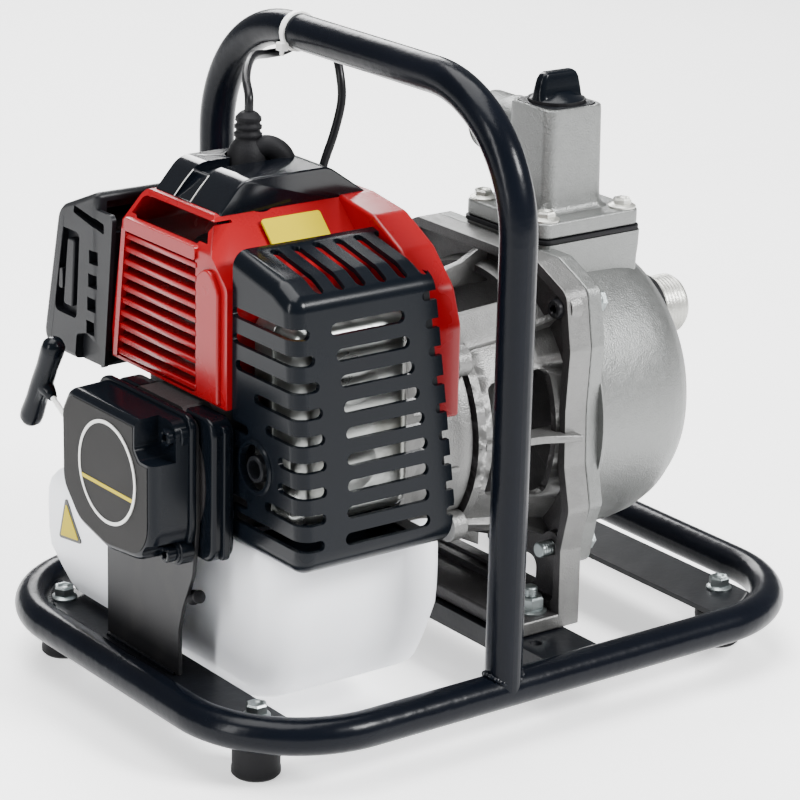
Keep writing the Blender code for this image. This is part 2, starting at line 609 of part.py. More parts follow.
def make_tank():
    outline = [(-160, 20), (-160, 72), (-142, 80), (-142, 108), (-42, 108), (-42, -82),
               (-140, -82), (-140, 20)]
    tank = plate("fuel_tank", rounded_outline(outline, [10, 8, 6, 14, 14, 14, 18, 8], 3), 32, 103,
                 "tank_white", "XY")
    inner = [(-157.5, 22.5), (-157.5, 70.5), (-139.5, 78.5), (-139.5, 105.5), (-44.5, 105.5),
             (-44.5, -79.5), (-137.5, -79.5), (-137.5, 22.5)]
    room = plate("tank_room", rounded_outline(inner, [8, 6, 8, 12, 12, 12, 16, 10], 3), 34.5,
                 100.5, None, "XY")
    for name, end, radius in (("case_saddle", -30, 43.0), ("fan_saddle", -62, 68.0)):
        start = -170 if radius < 50 else -30
        cut(tank, cylinder(name, (start, CRANK_Y, CRANK_Z), (end, CRANK_Y, CRANK_Z), radius,
                           sides=40))
        wall = 2.5 if start < end else -2.5
        cut(room, cylinder(name + "_wall", (start, CRANK_Y, CRANK_Z),
                           (end + wall, CRANK_Y, CRANK_Z), radius + 2.5, sides=40))
    cut(tank, room)
    shoulder = rounded_outline([(-159.7, 62), (-159.7, 107.6), (-134, 107.6), (-134, 62)],
                               [0, 14, 0, 0], 3)
    join(tank, plate("tank_shoulder", shoulder, 52, 102.6, None, "XY"))
    cut(tank, box("shoulder_room", (-157.2, 64, 54.5), (-136, 104.8, 100.2)))
    neck_x, neck_y = CAP_SPOT
    join(tank, turned("filler_neck", [(13, 98), (17, 98), (17, 110), (13, 110)], None,
                      (neck_x, neck_y, 0), "Z", 20))
    cut(tank, cylinder("filler_bore", (neck_x, neck_y, 90), (neck_x, neck_y, 112), 13, sides=20))
    turned("fuel_cap_seal", [(12, 110.3), (17, 110.3), (17, 112), (12, 112)], "rubber",
           (neck_x, neck_y, 0), "Z", 20)
    cap = turned("fuel_cap", [(0, 112.3), (17.4, 112.3), (17.4, 104), (20.5, 104), (20.5, 119),
                              (19, 121), (0, 121)], "gloss_black", (neck_x, neck_y, 0), "Z", 24)
    for step in range(6):
        angle = math.pi / 6 + step * math.pi / 3
        spot = Vector((neck_x + 22.5 * math.cos(angle), neck_y + 22.5 * math.sin(angle), 0))
        cut(cap, cylinder(f"grip_{step}", spot + Vector((0, 0, 100)), spot + Vector((0, 0, 125)),
                          3.6, sides=10))
    wire("fuel_hose", smooth_route([(-75, 96, 103.4), (-75, 96, 118), (-78, 88, 140),
                                    (-82, 70, 168), (-83, 52, 184), (-86, 47, 189),
                                    (-91, 47, 190), (-94, 47, 190)]), 2.6, "rubber")


CAP_SPOT = (-105.0, 80.0)


def make_starter():
    centre = (0, STARTER_Y, CRANK_Z)
    back = BRACKET_X[0] - GAP
    shell = [(0, STARTER_FACE), (34, STARTER_FACE), (38, STARTER_FACE + 1.2), (39.5, STARTER_FACE + 4),
             (STARTER_RADIUS, -172), (STARTER_RADIUS, back), (STARTER_RADIUS - 3, back),
             (STARTER_RADIUS - 3, -171), (37, STARTER_FACE + 5), (34, STARTER_FACE + 3),
             (0, STARTER_FACE + 3)]
    housing = turned("starter_housing", shell, "gloss_black", centre, "X", 36)
    for index, (y, z) in enumerate(STARTER_SCREWS):
        lug = cylinder(f"lug_{index}", (-171, y, z), (back - 0.6, y, z), 6.5, sides=16)
        join(housing, lug)
        cut(housing, cylinder(f"lug_hole_{index}", (-178, y, z), (back + 4, y, z), 2.9,
                              sides=10))
    pull = Vector(PULL_DIRECTION).normalized()
    grip = Vector(GRIP_CENTRE)
    cut(housing, cylinder("rope_hole", grip - pull * 66, grip - pull * 18, 3.2, sides=12))
    join(housing, turned("post", axis_profile((4, STARTER_FACE + 2), (4, -181.2)), None,
                         (0, CRANK_Y, CRANK_Z), "X", 12))

    reel = (0, CRANK_Y, CRANK_Z)
    drum = ROPE_DRUM_RADIUS
    turned("starter_pulley", [(4.4, -186.3), (drum + 6, -186.3), (drum + 6, -185.4), (drum, -184.6),
                              (drum, -180.2), (drum + 6, -179.6), (drum + 6, -178.6),
                              (12.6, -178.6), (12.6, -181.4), (6.2, -181.4), (6.2, -182),
                              (4.4, -182)],
           "nylon", reel, "X", 24)
    turned("recoil_spring", [(7.2, -181), (12.2, -181), (12.2, -178.9), (7.2, -178.9)], "steel",
           reel, "X", 20)
    upright = Vector((0, -pull.z, pull.y))
    rope_end = grip - pull * 6.6
    wire("starter_rope", [rope_end - pull * 19 * step for step in range(4, -1, -1)], 1.5, "nylon")
    handle = cylinder("starter_handle", grip - upright * 26, grip + upright * 26, 6.2,
                      "gloss_black", 16)
    for name, end in (("grip_low", -1), ("grip_high", 1)):
        join(handle, cylinder(name, grip + upright * 25 * end, grip + upright * 29 * end, 6.2,
                              sides=16, end_radius=3.5))


def make_housings():
    """Fan housing on the engine, and the pump bracket with its foot."""
    centre = (0, CRANK_Y, CRANK_Z)
    turned("fan_housing", [(19, -59.7), (66, -59.7), (66, -14), (62, -14), (62, -55.7),
                           (19, -55.7)], "dark_cast", centre, "X", 36)

    low, high = PLATE_X
    side = [(-90, FOOT_BOTTOM), (70, FOOT_BOTTOM), (70, 66), (75, 92), (71, 122), (72, 185),
            (68, 214), (44, 226), (-62, 226), (-88, 214), (-92, 185), (-91, 122), (-95, 92),
            (-90, 66)]
    window = rounded_outline([(-56, 44), (36, 44), (36, 64), (-56, 64)], 7, 3)
    bracket = plate("pump_bracket", rounded_outline(side, [2, 2, 6, 8, 8, 8, 8, 8, 8, 8, 8, 8, 8,
                                                           6], 2),
                    low, high, "dark_cast", "YZ", [window, circle((CRANK_Y, CRANK_Z), 16.5, 20)])
    bell = turned("bell", [(62, -13.7), (66, -13.7), (72, high - 8), (68, high - 8)], None,
                  centre, "X", 36)
    join(bracket, bell, box("foot", (8, -90, FOOT_BOTTOM), (high - 4, 70, FOOT_TOP)))
    for y in PUMP_BOLT_Y:
        cut(bracket, cylinder("foot_hole", (PUMP_BOLT_X, y, FOOT_BOTTOM - 2),
                              (PUMP_BOLT_X, y, FOOT_TOP + 2), 4.3, sides=12))
    for index, tilt in enumerate((0, math.pi / 2)):
        window = box(f"bell_window_{index}", (-4, CRANK_Y - 90, CRANK_Z - 30),
                     (28, CRANK_Y + 90, CRANK_Z + 30))
        window.rotation_euler = (tilt, 0, 0)
        cut(bracket, window)


FOOT_BOTTOM = CHANNEL_TOP + GAP
FOOT_TOP = 40.0


def make_pump():
    centre = (0, CRANK_Y, CRANK_Z)
    flange = [(-82, 66), (62, 66), (70, 92), (68, 200), (62, 212), (-82, 212), (-91, 190),
              (-91, 96)]
    casing = turned("pump_casing", axis_profile(
        (CASING_RADIUS, CASING_FRONT + 1), (CASING_RADIUS, 104), (CASING_RADIUS - 4, 116),
        (CASING_RADIUS - 14, 127), (CASING_RADIUS - 30, CASING_END)), "cast", centre, "X", 32)
    join(casing,
         plate("casing_flange", rounded_outline(flange, 10, 2), CASING_FRONT, 58, None, "YZ"),
         plate("outlet_block", [(52, -47), (116, -47), (116, 20), (52, 20)], 186,
               HEAD_BASE - 3, None, "XY"),
         cylinder("inlet_boss", (110, OUTLET_Y, INLET_Z), (146, OUTLET_Y, INLET_Z), 21,
                  sides=24))
    room = axis_profile((CASING_RADIUS - 5, CASING_FRONT - 2), (CASING_RADIUS - 5, 103),
                        (CASING_RADIUS - 9, 114), (CASING_RADIUS - 17, 124),
                        (CASING_RADIUS - 32, CASING_END - 4))
    cut(casing,
        turned("casing_room", room, None, centre, "X", 32),
        cylinder("outlet_bore", (OUTLET_X, OUTLET_Y, 190), (OUTLET_X, OUTLET_Y, 240), 15,
                 sides=20),
        cylinder("inlet_bore", (100, OUTLET_Y, INLET_Z), (150, OUTLET_Y, INLET_Z), 13, sides=20))

    square = rounded_outline([(49.8, -47), (117, -47), (117, 20), (49.8, 20)], 3, 2)
    plate("outlet_gasket", square, HEAD_BASE - 2.7, HEAD_BASE - GAP, "rubber", "XY",
          [circle((OUTLET_X, OUTLET_Y), 16, 20)])
    head = plate("discharge_head", square, HEAD_BASE, HEAD_FLANGE_TOP, "cast", "XY")
    tower = rounded_outline([(66, -31), (102, -31), (102, 5), (66, 5)], 8, 4)
    join(head,
         plate("tower", tower, HEAD_FLANGE_TOP - 4, TOWER_TOP, None, "XY"),
         cylinder("outlet_port", (OUTLET_X, 0, OUTLET_Z), (OUTLET_X, 43, OUTLET_Z), THREAD_RADIUS,
                  sides=28))
    cut(head,
        cylinder("tower_bore", (OUTLET_X, OUTLET_Y, 225), (OUTLET_X, OUTLET_Y, 300), 14, sides=24),
        cylinder("port_bore", (OUTLET_X, OUTLET_Y, OUTLET_Z), (OUTLET_X, 50, OUTLET_Z), 12.5,
                 sides=24))
    turned("priming_seal", [(13, TOWER_TOP + GAP), (15.5, TOWER_TOP + GAP), (15.5, 297.3),
                            (13, 297.3)], "rubber", (OUTLET_X, OUTLET_Y, 0), "Z", 20)
    plug = turned("priming_plug", axis_profile((11, 291.5), (12.6, 292.5), (12.6, 297.6),
                                               (16, 297.6), (16, 300.5), (14, 301.5)),
                  "gloss_black", (OUTLET_X, OUTLET_Y, 0), "Z", 24)
    wing = rounded_outline([(OUTLET_X - 14, 300), (OUTLET_X - 14, 312), (OUTLET_X + 14, 312),
                            (OUTLET_X + 14, 300)], [0, 5, 5, 0], 3)
    join(plug, plate("wing", wing, OUTLET_Y - 4, OUTLET_Y + 4, None, "XZ"))

    turned("inlet_fitting", [(12.7, 141), (12.7, 179), (THREAD_RADIUS, 179),
                             (THREAD_RADIUS, 150), (19.5, 150), (19.5, 146.3), (12.7, 146.3)][1:],
           "cast", (0, OUTLET_Y, INLET_Z), "X", 28)
    turned("inlet_valve", axis_profile((14, 127), (14, 129.6)), "rubber",
           (0, OUTLET_Y, INLET_Z), "X", 20)


def strap_outline(clearance):
    """Loop round the hoop tube and the lead beside it, seen along Y."""
    outline = []
    for centre, radius, first, last in (((HOOP_X, HOOP_TOP), TUBE_RADIUS, 52.7, 292),
                                        ((-21.6, 331.2), 2.8, 292, 412.7)):
        for step in range(10):
            angle = math.radians(first + (last - first) * step / 9)
            outline.append((centre[0] + (radius + clearance) * math.cos(angle),
                            centre[1] + (radius + clearance) * math.sin(angle)))
    return outline


def make_tie():
    """Nylon tie that straps the ignition lead to the hoop."""
    band = plate("cable_tie", strap_outline(1.5), 54, 58, "nylon", "XZ", [strap_outline(0.4)])
    join(band, box("tie_head", (HOOP_X - 4, 53.5, HOOP_TOP + 10.2),
                   (HOOP_X + 4, 58.5, HOOP_TOP + 13.2)))


clear_scene()
parts = new_collection("portable_fire_pump")
cutters = new_collection("cutters")
make_frame()
make_pump_bolts()
make_bracket()
make_crankcase()
make_cylinder()
make_crank_train()
make_piston()
make_ignition()
make_covers()
make_exhaust()
make_intake()
make_tank()
make_starter()
make_housings()
make_pump()
make_tie()
bpy.context.view_layer.update()
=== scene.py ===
"""Looks of the portable fire pump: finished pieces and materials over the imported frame.

Lengths are in millimetres in the part's own frame; the helpers turn them into metres.
"""
import math

import bmesh
import bpy
from mathutils import Matrix, Vector


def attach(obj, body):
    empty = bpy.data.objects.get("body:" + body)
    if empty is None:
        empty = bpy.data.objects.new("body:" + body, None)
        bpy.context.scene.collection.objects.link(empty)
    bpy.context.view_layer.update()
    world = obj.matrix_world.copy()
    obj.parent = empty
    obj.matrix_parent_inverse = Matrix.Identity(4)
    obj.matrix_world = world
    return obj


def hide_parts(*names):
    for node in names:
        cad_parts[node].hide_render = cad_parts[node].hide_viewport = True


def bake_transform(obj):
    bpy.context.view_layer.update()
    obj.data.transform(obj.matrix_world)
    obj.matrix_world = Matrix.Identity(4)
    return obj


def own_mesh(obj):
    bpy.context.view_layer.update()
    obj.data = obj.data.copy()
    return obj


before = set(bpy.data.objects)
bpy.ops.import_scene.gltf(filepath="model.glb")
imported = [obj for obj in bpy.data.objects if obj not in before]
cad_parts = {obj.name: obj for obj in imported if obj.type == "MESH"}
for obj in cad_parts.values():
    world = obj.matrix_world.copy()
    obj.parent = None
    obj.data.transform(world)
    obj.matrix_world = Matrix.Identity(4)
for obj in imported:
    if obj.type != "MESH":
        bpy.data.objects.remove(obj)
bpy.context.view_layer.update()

MM = 0.001
NEARLY_STRAIGHT = 1.56
AXES = {"YZ": (1, 2, 0), "XZ": (0, 2, 1), "XY": (0, 1, 2)}
RIGHT = (1, 0, 0)
FAR = (0, 1, 0)
UP = (0, 0, 1)

TUBE = 9.5
RING_Z = 29.5
RING_SIDE = 132
HOOP_X = -35.0
HOOP_TOP = 333.0
LEAD_AT_TIE = (-21.6, 331.2)
CRANK_Y = -10.0
CRANK_Z = 138.5
CRANK = (0, CRANK_Y, CRANK_Z)
CYLINDER_X = -110.0
EXHAUST = (0, -73, 153)
FILLER = (-105, 80)
OUTLET = (84, -13)
INLET = (0, -13, 170)

LENS = 142.409
CAMERA_SPOT = (-0.96156, -1.27321, 0.67768)
AZIMUTH = math.radians(-36.9166)
ELEVATION = math.radians(18.624)
ROLL = math.radians(1.3505)


# ------------------------------------------------------------------ shapes

def finish_mesh(name, bm, angle=32):
    bmesh.ops.remove_doubles(bm, verts=bm.verts, dist=0.000002)
    bmesh.ops.recalc_face_normals(bm, faces=bm.faces)
    mesh = bpy.data.meshes.new(name)
    bm.to_mesh(mesh)
    bm.free()
    mesh.shade_smooth()
    mesh.set_sharp_from_angle(angle=math.radians(angle))
    obj = bpy.data.objects.new(name, mesh)
    bpy.context.scene.collection.objects.link(obj)
    return obj


def box(name, low, high, bevel=0.0, segments=3):
    bm = bmesh.new()
    bmesh.ops.create_cube(bm, size=1.0)
    size = Vector(high) - Vector(low)
    bmesh.ops.scale(bm, vec=size * MM, verts=bm.verts)
    if bevel:
        bmesh.ops.bevel(bm, geom=bm.edges[:], offset=bevel * MM, segments=segments, profile=0.5,
            affect="EDGES")
    bmesh.ops.translate(bm, vec=(Vector(low) + Vector(high)) / 2 * MM, verts=bm.verts)
    return finish_mesh(name, bm)


def add_rings(bm, loops):
    return [[bm.verts.new(Vector(point) * MM) for point in loop] for loop in loops]


def loft(name, loops, closed=False, angle=32):
    """Skin a list of 3D loops that all have the same number of points."""
    bm = bmesh.new()
    rings = add_rings(bm, loops)
    pairs = list(zip(rings, rings[1:])) + ([(rings[-1], rings[0])] if closed else [])
    for first, second in pairs:
        count = len(first)
        for index in range(count):
            after = (index + 1) % count
            bm.faces.new((first[index], first[after], second[after], second[index]))
    if not closed:
        bm.faces.new(rings[0])
        bm.faces.new(rings[-1])
    return finish_mesh(name, bm, angle)


def lift(points, plane, height):
    """Stand 2D points up in a plane at a height along its normal."""
    across, up, normal = AXES[plane]
    lifted = []
    for point in points:
        spot = [0.0, 0.0, 0.0]
        spot[across], spot[up], spot[normal] = point[0], point[1], height
        lifted.append(spot)
    return lifted


def prism(name, outline, low, high, plane="YZ", edge=0.0, segments=3):
    obj = loft(name, [lift(outline, plane, low), lift(outline, plane, high)])
    return soften(obj, edge, segments) if edge else obj


def tile(name, corners, radius, steps, *rest, **more):
    """A prism whose outline has rounded corners."""
    return prism(name, rounded(corners, radius, steps), *rest, **more)


def frame_at(direction):
    return Vector(direction).to_track_quat("Z", "Y").to_matrix()


def lathe(name, profile, origin=(0, 0, 0), direction=(1, 0, 0), steps=64, angle=32):
    """Turn (radius, distance) points about an axis through origin."""
    turn = frame_at(direction)
    loops = []
    for step in range(steps):
        spin = 2 * math.pi * step / steps
        loops.append([Vector(origin)
            + turn @ Vector((radius * math.cos(spin), radius * math.sin(spin), distance))
            for radius, distance in profile])
    bm = bmesh.new()
    rings = add_rings(bm, loops)
    closed = profile[0][0] > 0 and profile[-1][0] > 0
    last = len(profile) if closed else len(profile) - 1
    for first, second in zip(rings, rings[1:] + rings[:1]):
        for index in range(last):
            after = (index + 1) % len(profile)
            bm.faces.new((first[index], first[after], second[after], second[index]))
    bmesh.ops.remove_doubles(bm, verts=bm.verts, dist=0.000002)
    bmesh.ops.dissolve_degenerate(bm, dist=0.0000005, edges=bm.edges)
    return finish_mesh(name, bm, angle)


def axial(*points):
    """Close a turned profile on its axis at both ends."""
    return [(0, points[0][1]), *points, (0, points[-1][1])]


def rod(name, start, end, radius, steps=32, chamfer=0.0):
    start, end = Vector(start), Vector(end)
    length = (end - start).length
    profile = [(radius, 0), (radius, length)]
    if chamfer:
        profile = [(radius - chamfer, 0), (radius, chamfer), (radius, length - chamfer),
            (radius - chamfer, length)]
    return lathe(name, axial(*profile), start, end - start, steps)


def crank_rod(name, low, high, radius, steps):
    return rod(name, (low, CRANK_Y, CRANK_Z), (high, CRANK_Y, CRANK_Z), radius, steps)


def sweep(name, points, radius, sides=24, closed=False):
    """A round tube along points; radius is one number or one for each point."""
    points = [Vector(point) for point in points]
    count = len(points)
    radii = radius if isinstance(radius, list) else [radius] * count
    tangents = []
    for index in range(count):
        if closed:
            step = points[(index + 1) % count] - points[index - 1]
        else:
            step = points[min(index + 1, count - 1)] - points[max(index - 1, 0)]
        tangents.append(step.normalized())
    side = tangents[0].orthogonal().normalized()
    loops = []
    for point, tangent, size in zip(points, tangents, radii):
        side = (side - tangent * side.dot(tangent)).normalized()
        other = tangent.cross(side)
        loops.append([point + (side * math.cos(2 * math.pi * k / sides) + other
            * math.sin(2 * math.pi * k / sides)) * size for k in range(sides)])
    if closed:
        start = (loops[0][0] - points[0]).normalized()
        twist = math.atan2(start.dot(tangents[0].cross(side)), start.dot(side))
        for index, loop in enumerate(loops):
            turn = Matrix.Rotation(twist * index / count, 3, tangents[index])
            loops[index] = [points[index] + turn @ (spot - points[index]) for spot in loop]
    return loft(name, loops, closed=closed, angle=50)


def rounded(corners, radius, steps=6, closed=True):
    """Round the corners of an outline; radius is one number or one for each corner."""
    points = []
    count = len(corners)
    for index, corner in enumerate(corners):
        size = radius[index] if isinstance(radius, (list, tuple)) else radius
        if not size or (not closed and index in (0, count - 1)):
            points.append(tuple(corner))
            continue
        here = Vector(corner)
        back = (Vector(corners[index - 1]) - here).normalized()
        ahead = (Vector(corners[(index + 1) % count]) - here).normalized()
        half = back.angle(ahead) / 2
        if half > NEARLY_STRAIGHT:
            points.append(tuple(corner))
            continue
        middle = here + (back + ahead).normalized() * size / math.sin(half)
        start = here + back * size / math.tan(half) - middle
        end = here + ahead * size / math.tan(half) - middle
        sweep_angle = start.angle_signed(end)
        for step in range(steps + 1):
            angle = -sweep_angle * step / steps
            points.append((middle.x + start.x * math.cos(angle) - start.y * math.sin(angle),
                middle.y + start.x * math.sin(angle) + start.y * math.cos(angle)))
    return points


def inset(corners, distance):
    """Move every side of an outline inwards."""
    moved = []
    count = len(corners)
    area = sum(a[0] * b[1] - b[0] * a[1] for a, b in zip(corners, corners[1:] + corners[:1]))
    distance = math.copysign(1, area) * distance
    for index in range(count):
        here = Vector(corners[index])
        back = (here - Vector(corners[index - 1])).normalized()
        ahead = (Vector(corners[(index + 1) % count]) - here).normalized()
        left_back = Vector((-back.y, back.x))
        left_ahead = Vector((-ahead.y, ahead.x))
        across = left_back + left_ahead
        moved.append(tuple(here + across * distance / max(0.2, 1 + left_back.dot(left_ahead))))
    return moved


def stack(outline, radius, rows, plane, steps, least=0.0):
    """Loops for a loft: the outline at each height, moved inwards by a distance."""
    loops = []
    for height, shrink in rows:
        sizes = [max(least, size - shrink) for size in radius] if least else radius
        loops.append(lift(rounded(inset(outline, shrink), sizes, steps), plane, height))
    return loops


def ring(centre, radius, steps=32):
    return [(centre[0] + radius * math.cos(2 * math.pi * step / steps), centre[1] + radius
        * math.sin(2 * math.pi * step / steps)) for step in range(steps)]


def stadium(start, end, half, steps=8):
    """Outline of a slot with round ends between two 2D points."""
    start, end = Vector(start), Vector(end)
    base = math.atan2((end - start).y, (end - start).x)
    outline = []
    for centre, first in ((end, base - math.pi / 2), (start, base + math.pi / 2)):
        for step in range(steps + 1):
            angle = first + math.pi * step / steps
            outline.append((centre.x + half * math.cos(angle), centre.y + half * math.sin(angle)))
    return outline


def bake_modifiers(obj, angle=32):
    graph = bpy.context.evaluated_depsgraph_get()
    mesh = bpy.data.meshes.new_from_object(obj.evaluated_get(graph))
    old = obj.data
    obj.modifiers.clear()
    obj.data = mesh
    bpy.data.meshes.remove(old)
    mesh.shade_smooth()
    mesh.set_sharp_from_angle(angle=math.radians(angle))
    return obj


def boolean(obj, operation, tools):
    for tool in tools:
        modifier = obj.modifiers.new("join", "BOOLEAN")
        modifier.operation = operation
        modifier.object = tool
    bake_modifiers(obj)
    for tool in tools:
        bpy.data.objects.remove(tool, do_unlink=True)
    return obj


def cut(obj, *tools):
    return boolean(obj, "DIFFERENCE", tools)


def join(obj, *tools):
    return boolean(obj, "UNION", tools)


def soften(obj, width, segments=3, angle=28, crisp=32):
    """Round the edges of a piece."""
    modifier = obj.modifiers.new("edges", "BEVEL")
    modifier.width = width * MM
    modifier.segments = segments
    modifier.limit_method = "ANGLE"
    modifier.angle_limit = math.radians(angle)
    modifier.harden_normals = True
    return bake_modifiers(obj, crisp)


def gather(name, objs):
    """Put several shapes into one piece."""
    bm = bmesh.new()
    for obj in objs:
        bm.from_mesh(obj.data)
        bpy.data.objects.remove(obj, do_unlink=True)
    mesh = bpy.data.meshes.new(name)
    bm.to_mesh(mesh)
    bm.free()
    mesh.shade_smooth()
    mesh.set_sharp_from_angle(angle=math.radians(32))
    obj = bpy.data.objects.new(name, mesh)
    bpy.context.scene.collection.objects.link(obj)
    return obj


def flow(points, per_span=6):
    """Points of a Catmull-Rom curve through a route."""
    ends = [points[0]] + list(points) + [points[-1]]
    route = []
    for before, start, end, after in zip(ends, ends[1:], ends[2:], ends[3:]):
        before, start, end, after = map(Vector, (before, start, end, after))
        for step in range(per_span):
            t = step / per_span
            route.append(0.5 * (2 * start + (end - before) * t
                + (2 * before - 5 * start + 4 * end - after) * t ** 2
                + (3 * start - before - 3 * end + after) * t ** 3))
    route.append(Vector(points[-1]))
    return route


# ------------------------------------------------------------------ materials

def node(tree, kind, **values):
    made = tree.nodes.new(kind)
    for key, value in values.items():
        setattr(made, key, value)
    return made


def surface(name, colour, rough, metallic=0.0, mottle=0.1, mottle_scale=30, spread=0.06, grain=0.15,
        grain_scale=900, wave=0.0, wave_scale=60, coat=0.0, tint=None, tint_scale=8, tint_low=0.55,
        soft=0.0, specular=0.5):
    """A procedural finish: broad colour drift, fine grain bump and uneven gloss."""
    material = bpy.data.materials.new(name)
    material.use_nodes = True
    tree = material.node_tree
    shader = tree.nodes["Principled BSDF"]
    link = tree.links.new
    coord = node(tree, "ShaderNodeTexCoord").outputs["Object"]

    def noise(scale, detail):
        made = node(tree, "ShaderNodeTexNoise")
        made.inputs["Scale"].default_value = scale
        made.inputs["Detail"].default_value = detail
        link(coord, made.inputs["Vector"])
        return made.outputs["Fac"]

    broad, fine = noise(mottle_scale, 4), noise(grain_scale, 3)
    mix = node(tree, "ShaderNodeMix", data_type="RGBA")
    mix.inputs[6].default_value = (*[c * (1 - mottle) for c in colour], 1)
    mix.inputs[7].default_value = (*[min(1, c * (1 + mottle)) for c in colour], 1)
    link(broad, mix.inputs[0])
    result = mix.outputs[2]
    if tint:
        patch = node(tree, "ShaderNodeMapRange")
        patch.inputs["From Min"].default_value = tint_low
        patch.inputs["From Max"].default_value = tint_low + 0.18
        link(noise(tint_scale, 5), patch.inputs["Value"])
        stain = node(tree, "ShaderNodeMix", data_type="RGBA")
        stain.inputs[7].default_value = (*tint, 1)
        link(patch.outputs["Result"], stain.inputs[0])
        link(result, stain.inputs[6])
        result = stain.outputs[2]
    link(result, shader.inputs["Base Color"])
    gloss = node(tree, "ShaderNodeMapRange")
    gloss.inputs["To Min"].default_value = max(0.02, rough - spread)
    gloss.inputs["To Max"].default_value = min(1, rough + spread)
    link(broad, gloss.inputs["Value"])
    link(gloss.outputs["Result"], shader.inputs["Roughness"])
    bump = node(tree, "ShaderNodeBump")
    bump.inputs["Strength"].default_value = grain
    bump.inputs["Distance"].default_value = 0.0004
    link(fine, bump.inputs["Height"])
    if wave:
        swell = node(tree, "ShaderNodeBump")
        swell.inputs["Strength"].default_value = wave
        swell.inputs["Distance"].default_value = 0.002
        link(noise(wave_scale, 2), swell.inputs["Height"])
        link(swell.outputs["Normal"], bump.inputs["Normal"])
    link(bump.outputs["Normal"], shader.inputs["Normal"])
    shader.inputs["Metallic"].default_value = metallic
    shader.inputs["Coat Weight"].default_value = coat
    shader.inputs["Coat Roughness"].default_value = 0.12
    shader.inputs["Specular IOR Level"].default_value = specular
    if soft:
        shader.inputs["Subsurface Weight"].default_value = soft
        shader.inputs["Subsurface Radius"].default_value = (0.012, 0.012, 0.014)
    return material


TUBE_PAINT = surface("tube_paint", (0.002, 0.0028, 0.005), 0.24, grain=0.05, grain_scale=700,
    wave=0.10, wave_scale=130, mottle=0.25, spread=0.08, specular=0.10)
STRIP_PAINT = surface("strip_paint", (0.003, 0.0035, 0.005), 0.34, grain=0.12, grain_scale=500,
    wave=0.10, wave_scale=90, mottle=0.25, specular=0.15)
PLATE_PAINT = surface("plate_paint", (0.008, 0.008, 0.009), 0.40, grain=0.10, grain_scale=1100,
    mottle=0.15, specular=0.2, tint=(0.020, 0.019, 0.018), tint_scale=30)
BLACK_GLOSS = surface("black_gloss", (0.0022, 0.0032, 0.005), 0.22, grain=0.04, grain_scale=1200,
    wave=0.04, wave_scale=40, mottle=0.2, spread=0.05, specular=0.11)
BLACK_MATT = surface("black_matt", (0.004, 0.0045, 0.006), 0.42, grain=0.25, grain_scale=1800,
    mottle=0.2, spread=0.08, specular=0.18)
BLACK_COVER = surface("black_cover", (0.002, 0.0028, 0.0045), 0.14, grain=0.02, grain_scale=1000,
    mottle=0.2, spread=0.04, specular=0.3)
CHARCOAL = surface("charcoal", (0.006, 0.0056, 0.0054), 0.50, grain=0.20, grain_scale=2000,
    mottle=0.12, specular=0.12)
RED = surface("red_plastic", (0.21, 0.0012, 0.004), 0.28, grain=0.04, grain_scale=1000, coat=0.1,
    mottle=0.06, wave=0.04, wave_scale=35, spread=0.05, specular=0.22)
CAST = surface("cast_aluminium", (0.165, 0.17, 0.166), 0.42, metallic=0.8, grain=0.75,
    grain_scale=1100, wave=0.12, wave_scale=160, mottle=0.14, mottle_scale=260, spread=0.10)
BRACKET_CAST = surface("bracket_cast", (0.15, 0.15, 0.147), 0.42, metallic=0.8, grain=0.8,
    grain_scale=1100, wave=0.15, wave_scale=120, mottle=0.16, mottle_scale=200, spread=0.10)
# Darker cast metal used as painted shade: on the bracket's faces turned to the engine and on the
# dim parts inside it.
PAINTED_SHADE_CAST = surface("dark_cast", (0.03, 0.028, 0.029), 0.50, metallic=0.5, grain=0.7,
    grain_scale=1200, wave=0.15, wave_scale=120, mottle=0.22, mottle_scale=260, spread=0.10)
STEEL = surface("machined_steel", (0.60, 0.60, 0.60), 0.30, metallic=1.0, grain=0.12,
    grain_scale=1400, mottle=0.08, spread=0.10)
SILVER_SHEET = surface("aluminised_sheet", (0.30, 0.31, 0.30), 0.30, metallic=0.92, wave=0.35,
    wave_scale=45, mottle=0.2, spread=0.12, tint=(0.10, 0.10, 0.085), tint_scale=22)
ZINC = surface("bright_zinc", (0.22, 0.245, 0.245), 0.34, metallic=0.95, grain=0.25,
    grain_scale=1200, mottle=0.2, mottle_scale=150, spread=0.12)
TARNISHED = surface("tarnished_thread", (0.42, 0.42, 0.39), 0.40, metallic=0.85, grain=0.4,
    mottle=0.3, mottle_scale=120, spread=0.15)
RUBBER = surface("black_rubber", (0.004, 0.004, 0.005), 0.58, grain=0.35, grain_scale=1100,
    mottle=0.2, spread=0.10, specular=0.15)
LEAD_SKIN = surface("lead_skin", (0.003, 0.003, 0.004), 0.36, grain=0.08, mottle=0.15, specular=0.2)
TANK_SKIN = surface("tank_plastic", (0.80, 0.815, 0.85), 0.38, grain=0.10, grain_scale=500,
    wave=0.22, wave_scale=28, mottle=0.02, soft=0.2, tint=(0.80, 0.78, 0.66), tint_scale=12,
    tint_low=0.66)
NYLON = surface("nylon", (0.84, 0.84, 0.82), 0.42, grain=0.08, mottle=0.04, soft=0.1)
FOAM = surface("foam", (0.012, 0.012, 0.012), 0.95, grain=1.0, grain_scale=700, mottle=0.4)
CERAMIC = surface("ceramic", (0.80, 0.79, 0.76), 0.15, grain=0.02, mottle=0.03, coat=0.5)
YELLOW = surface("yellow_label", (0.42, 0.33, 0.0), 0.33, grain=0.04, mottle=0.03, specular=0.12)
LABEL_BLACK = surface("label_black", (0.008, 0.008, 0.008), 0.35, grain=0.04)
LABEL_SILVER = surface("label_silver", (0.55, 0.55, 0.53), 0.30, metallic=0.35, grain=0.05,
    mottle=0.05)
FLOOR = surface("studio_floor", (0.90, 0.90, 0.90), 0.6, grain=0.02, mottle=0.01, mottle_scale=3)
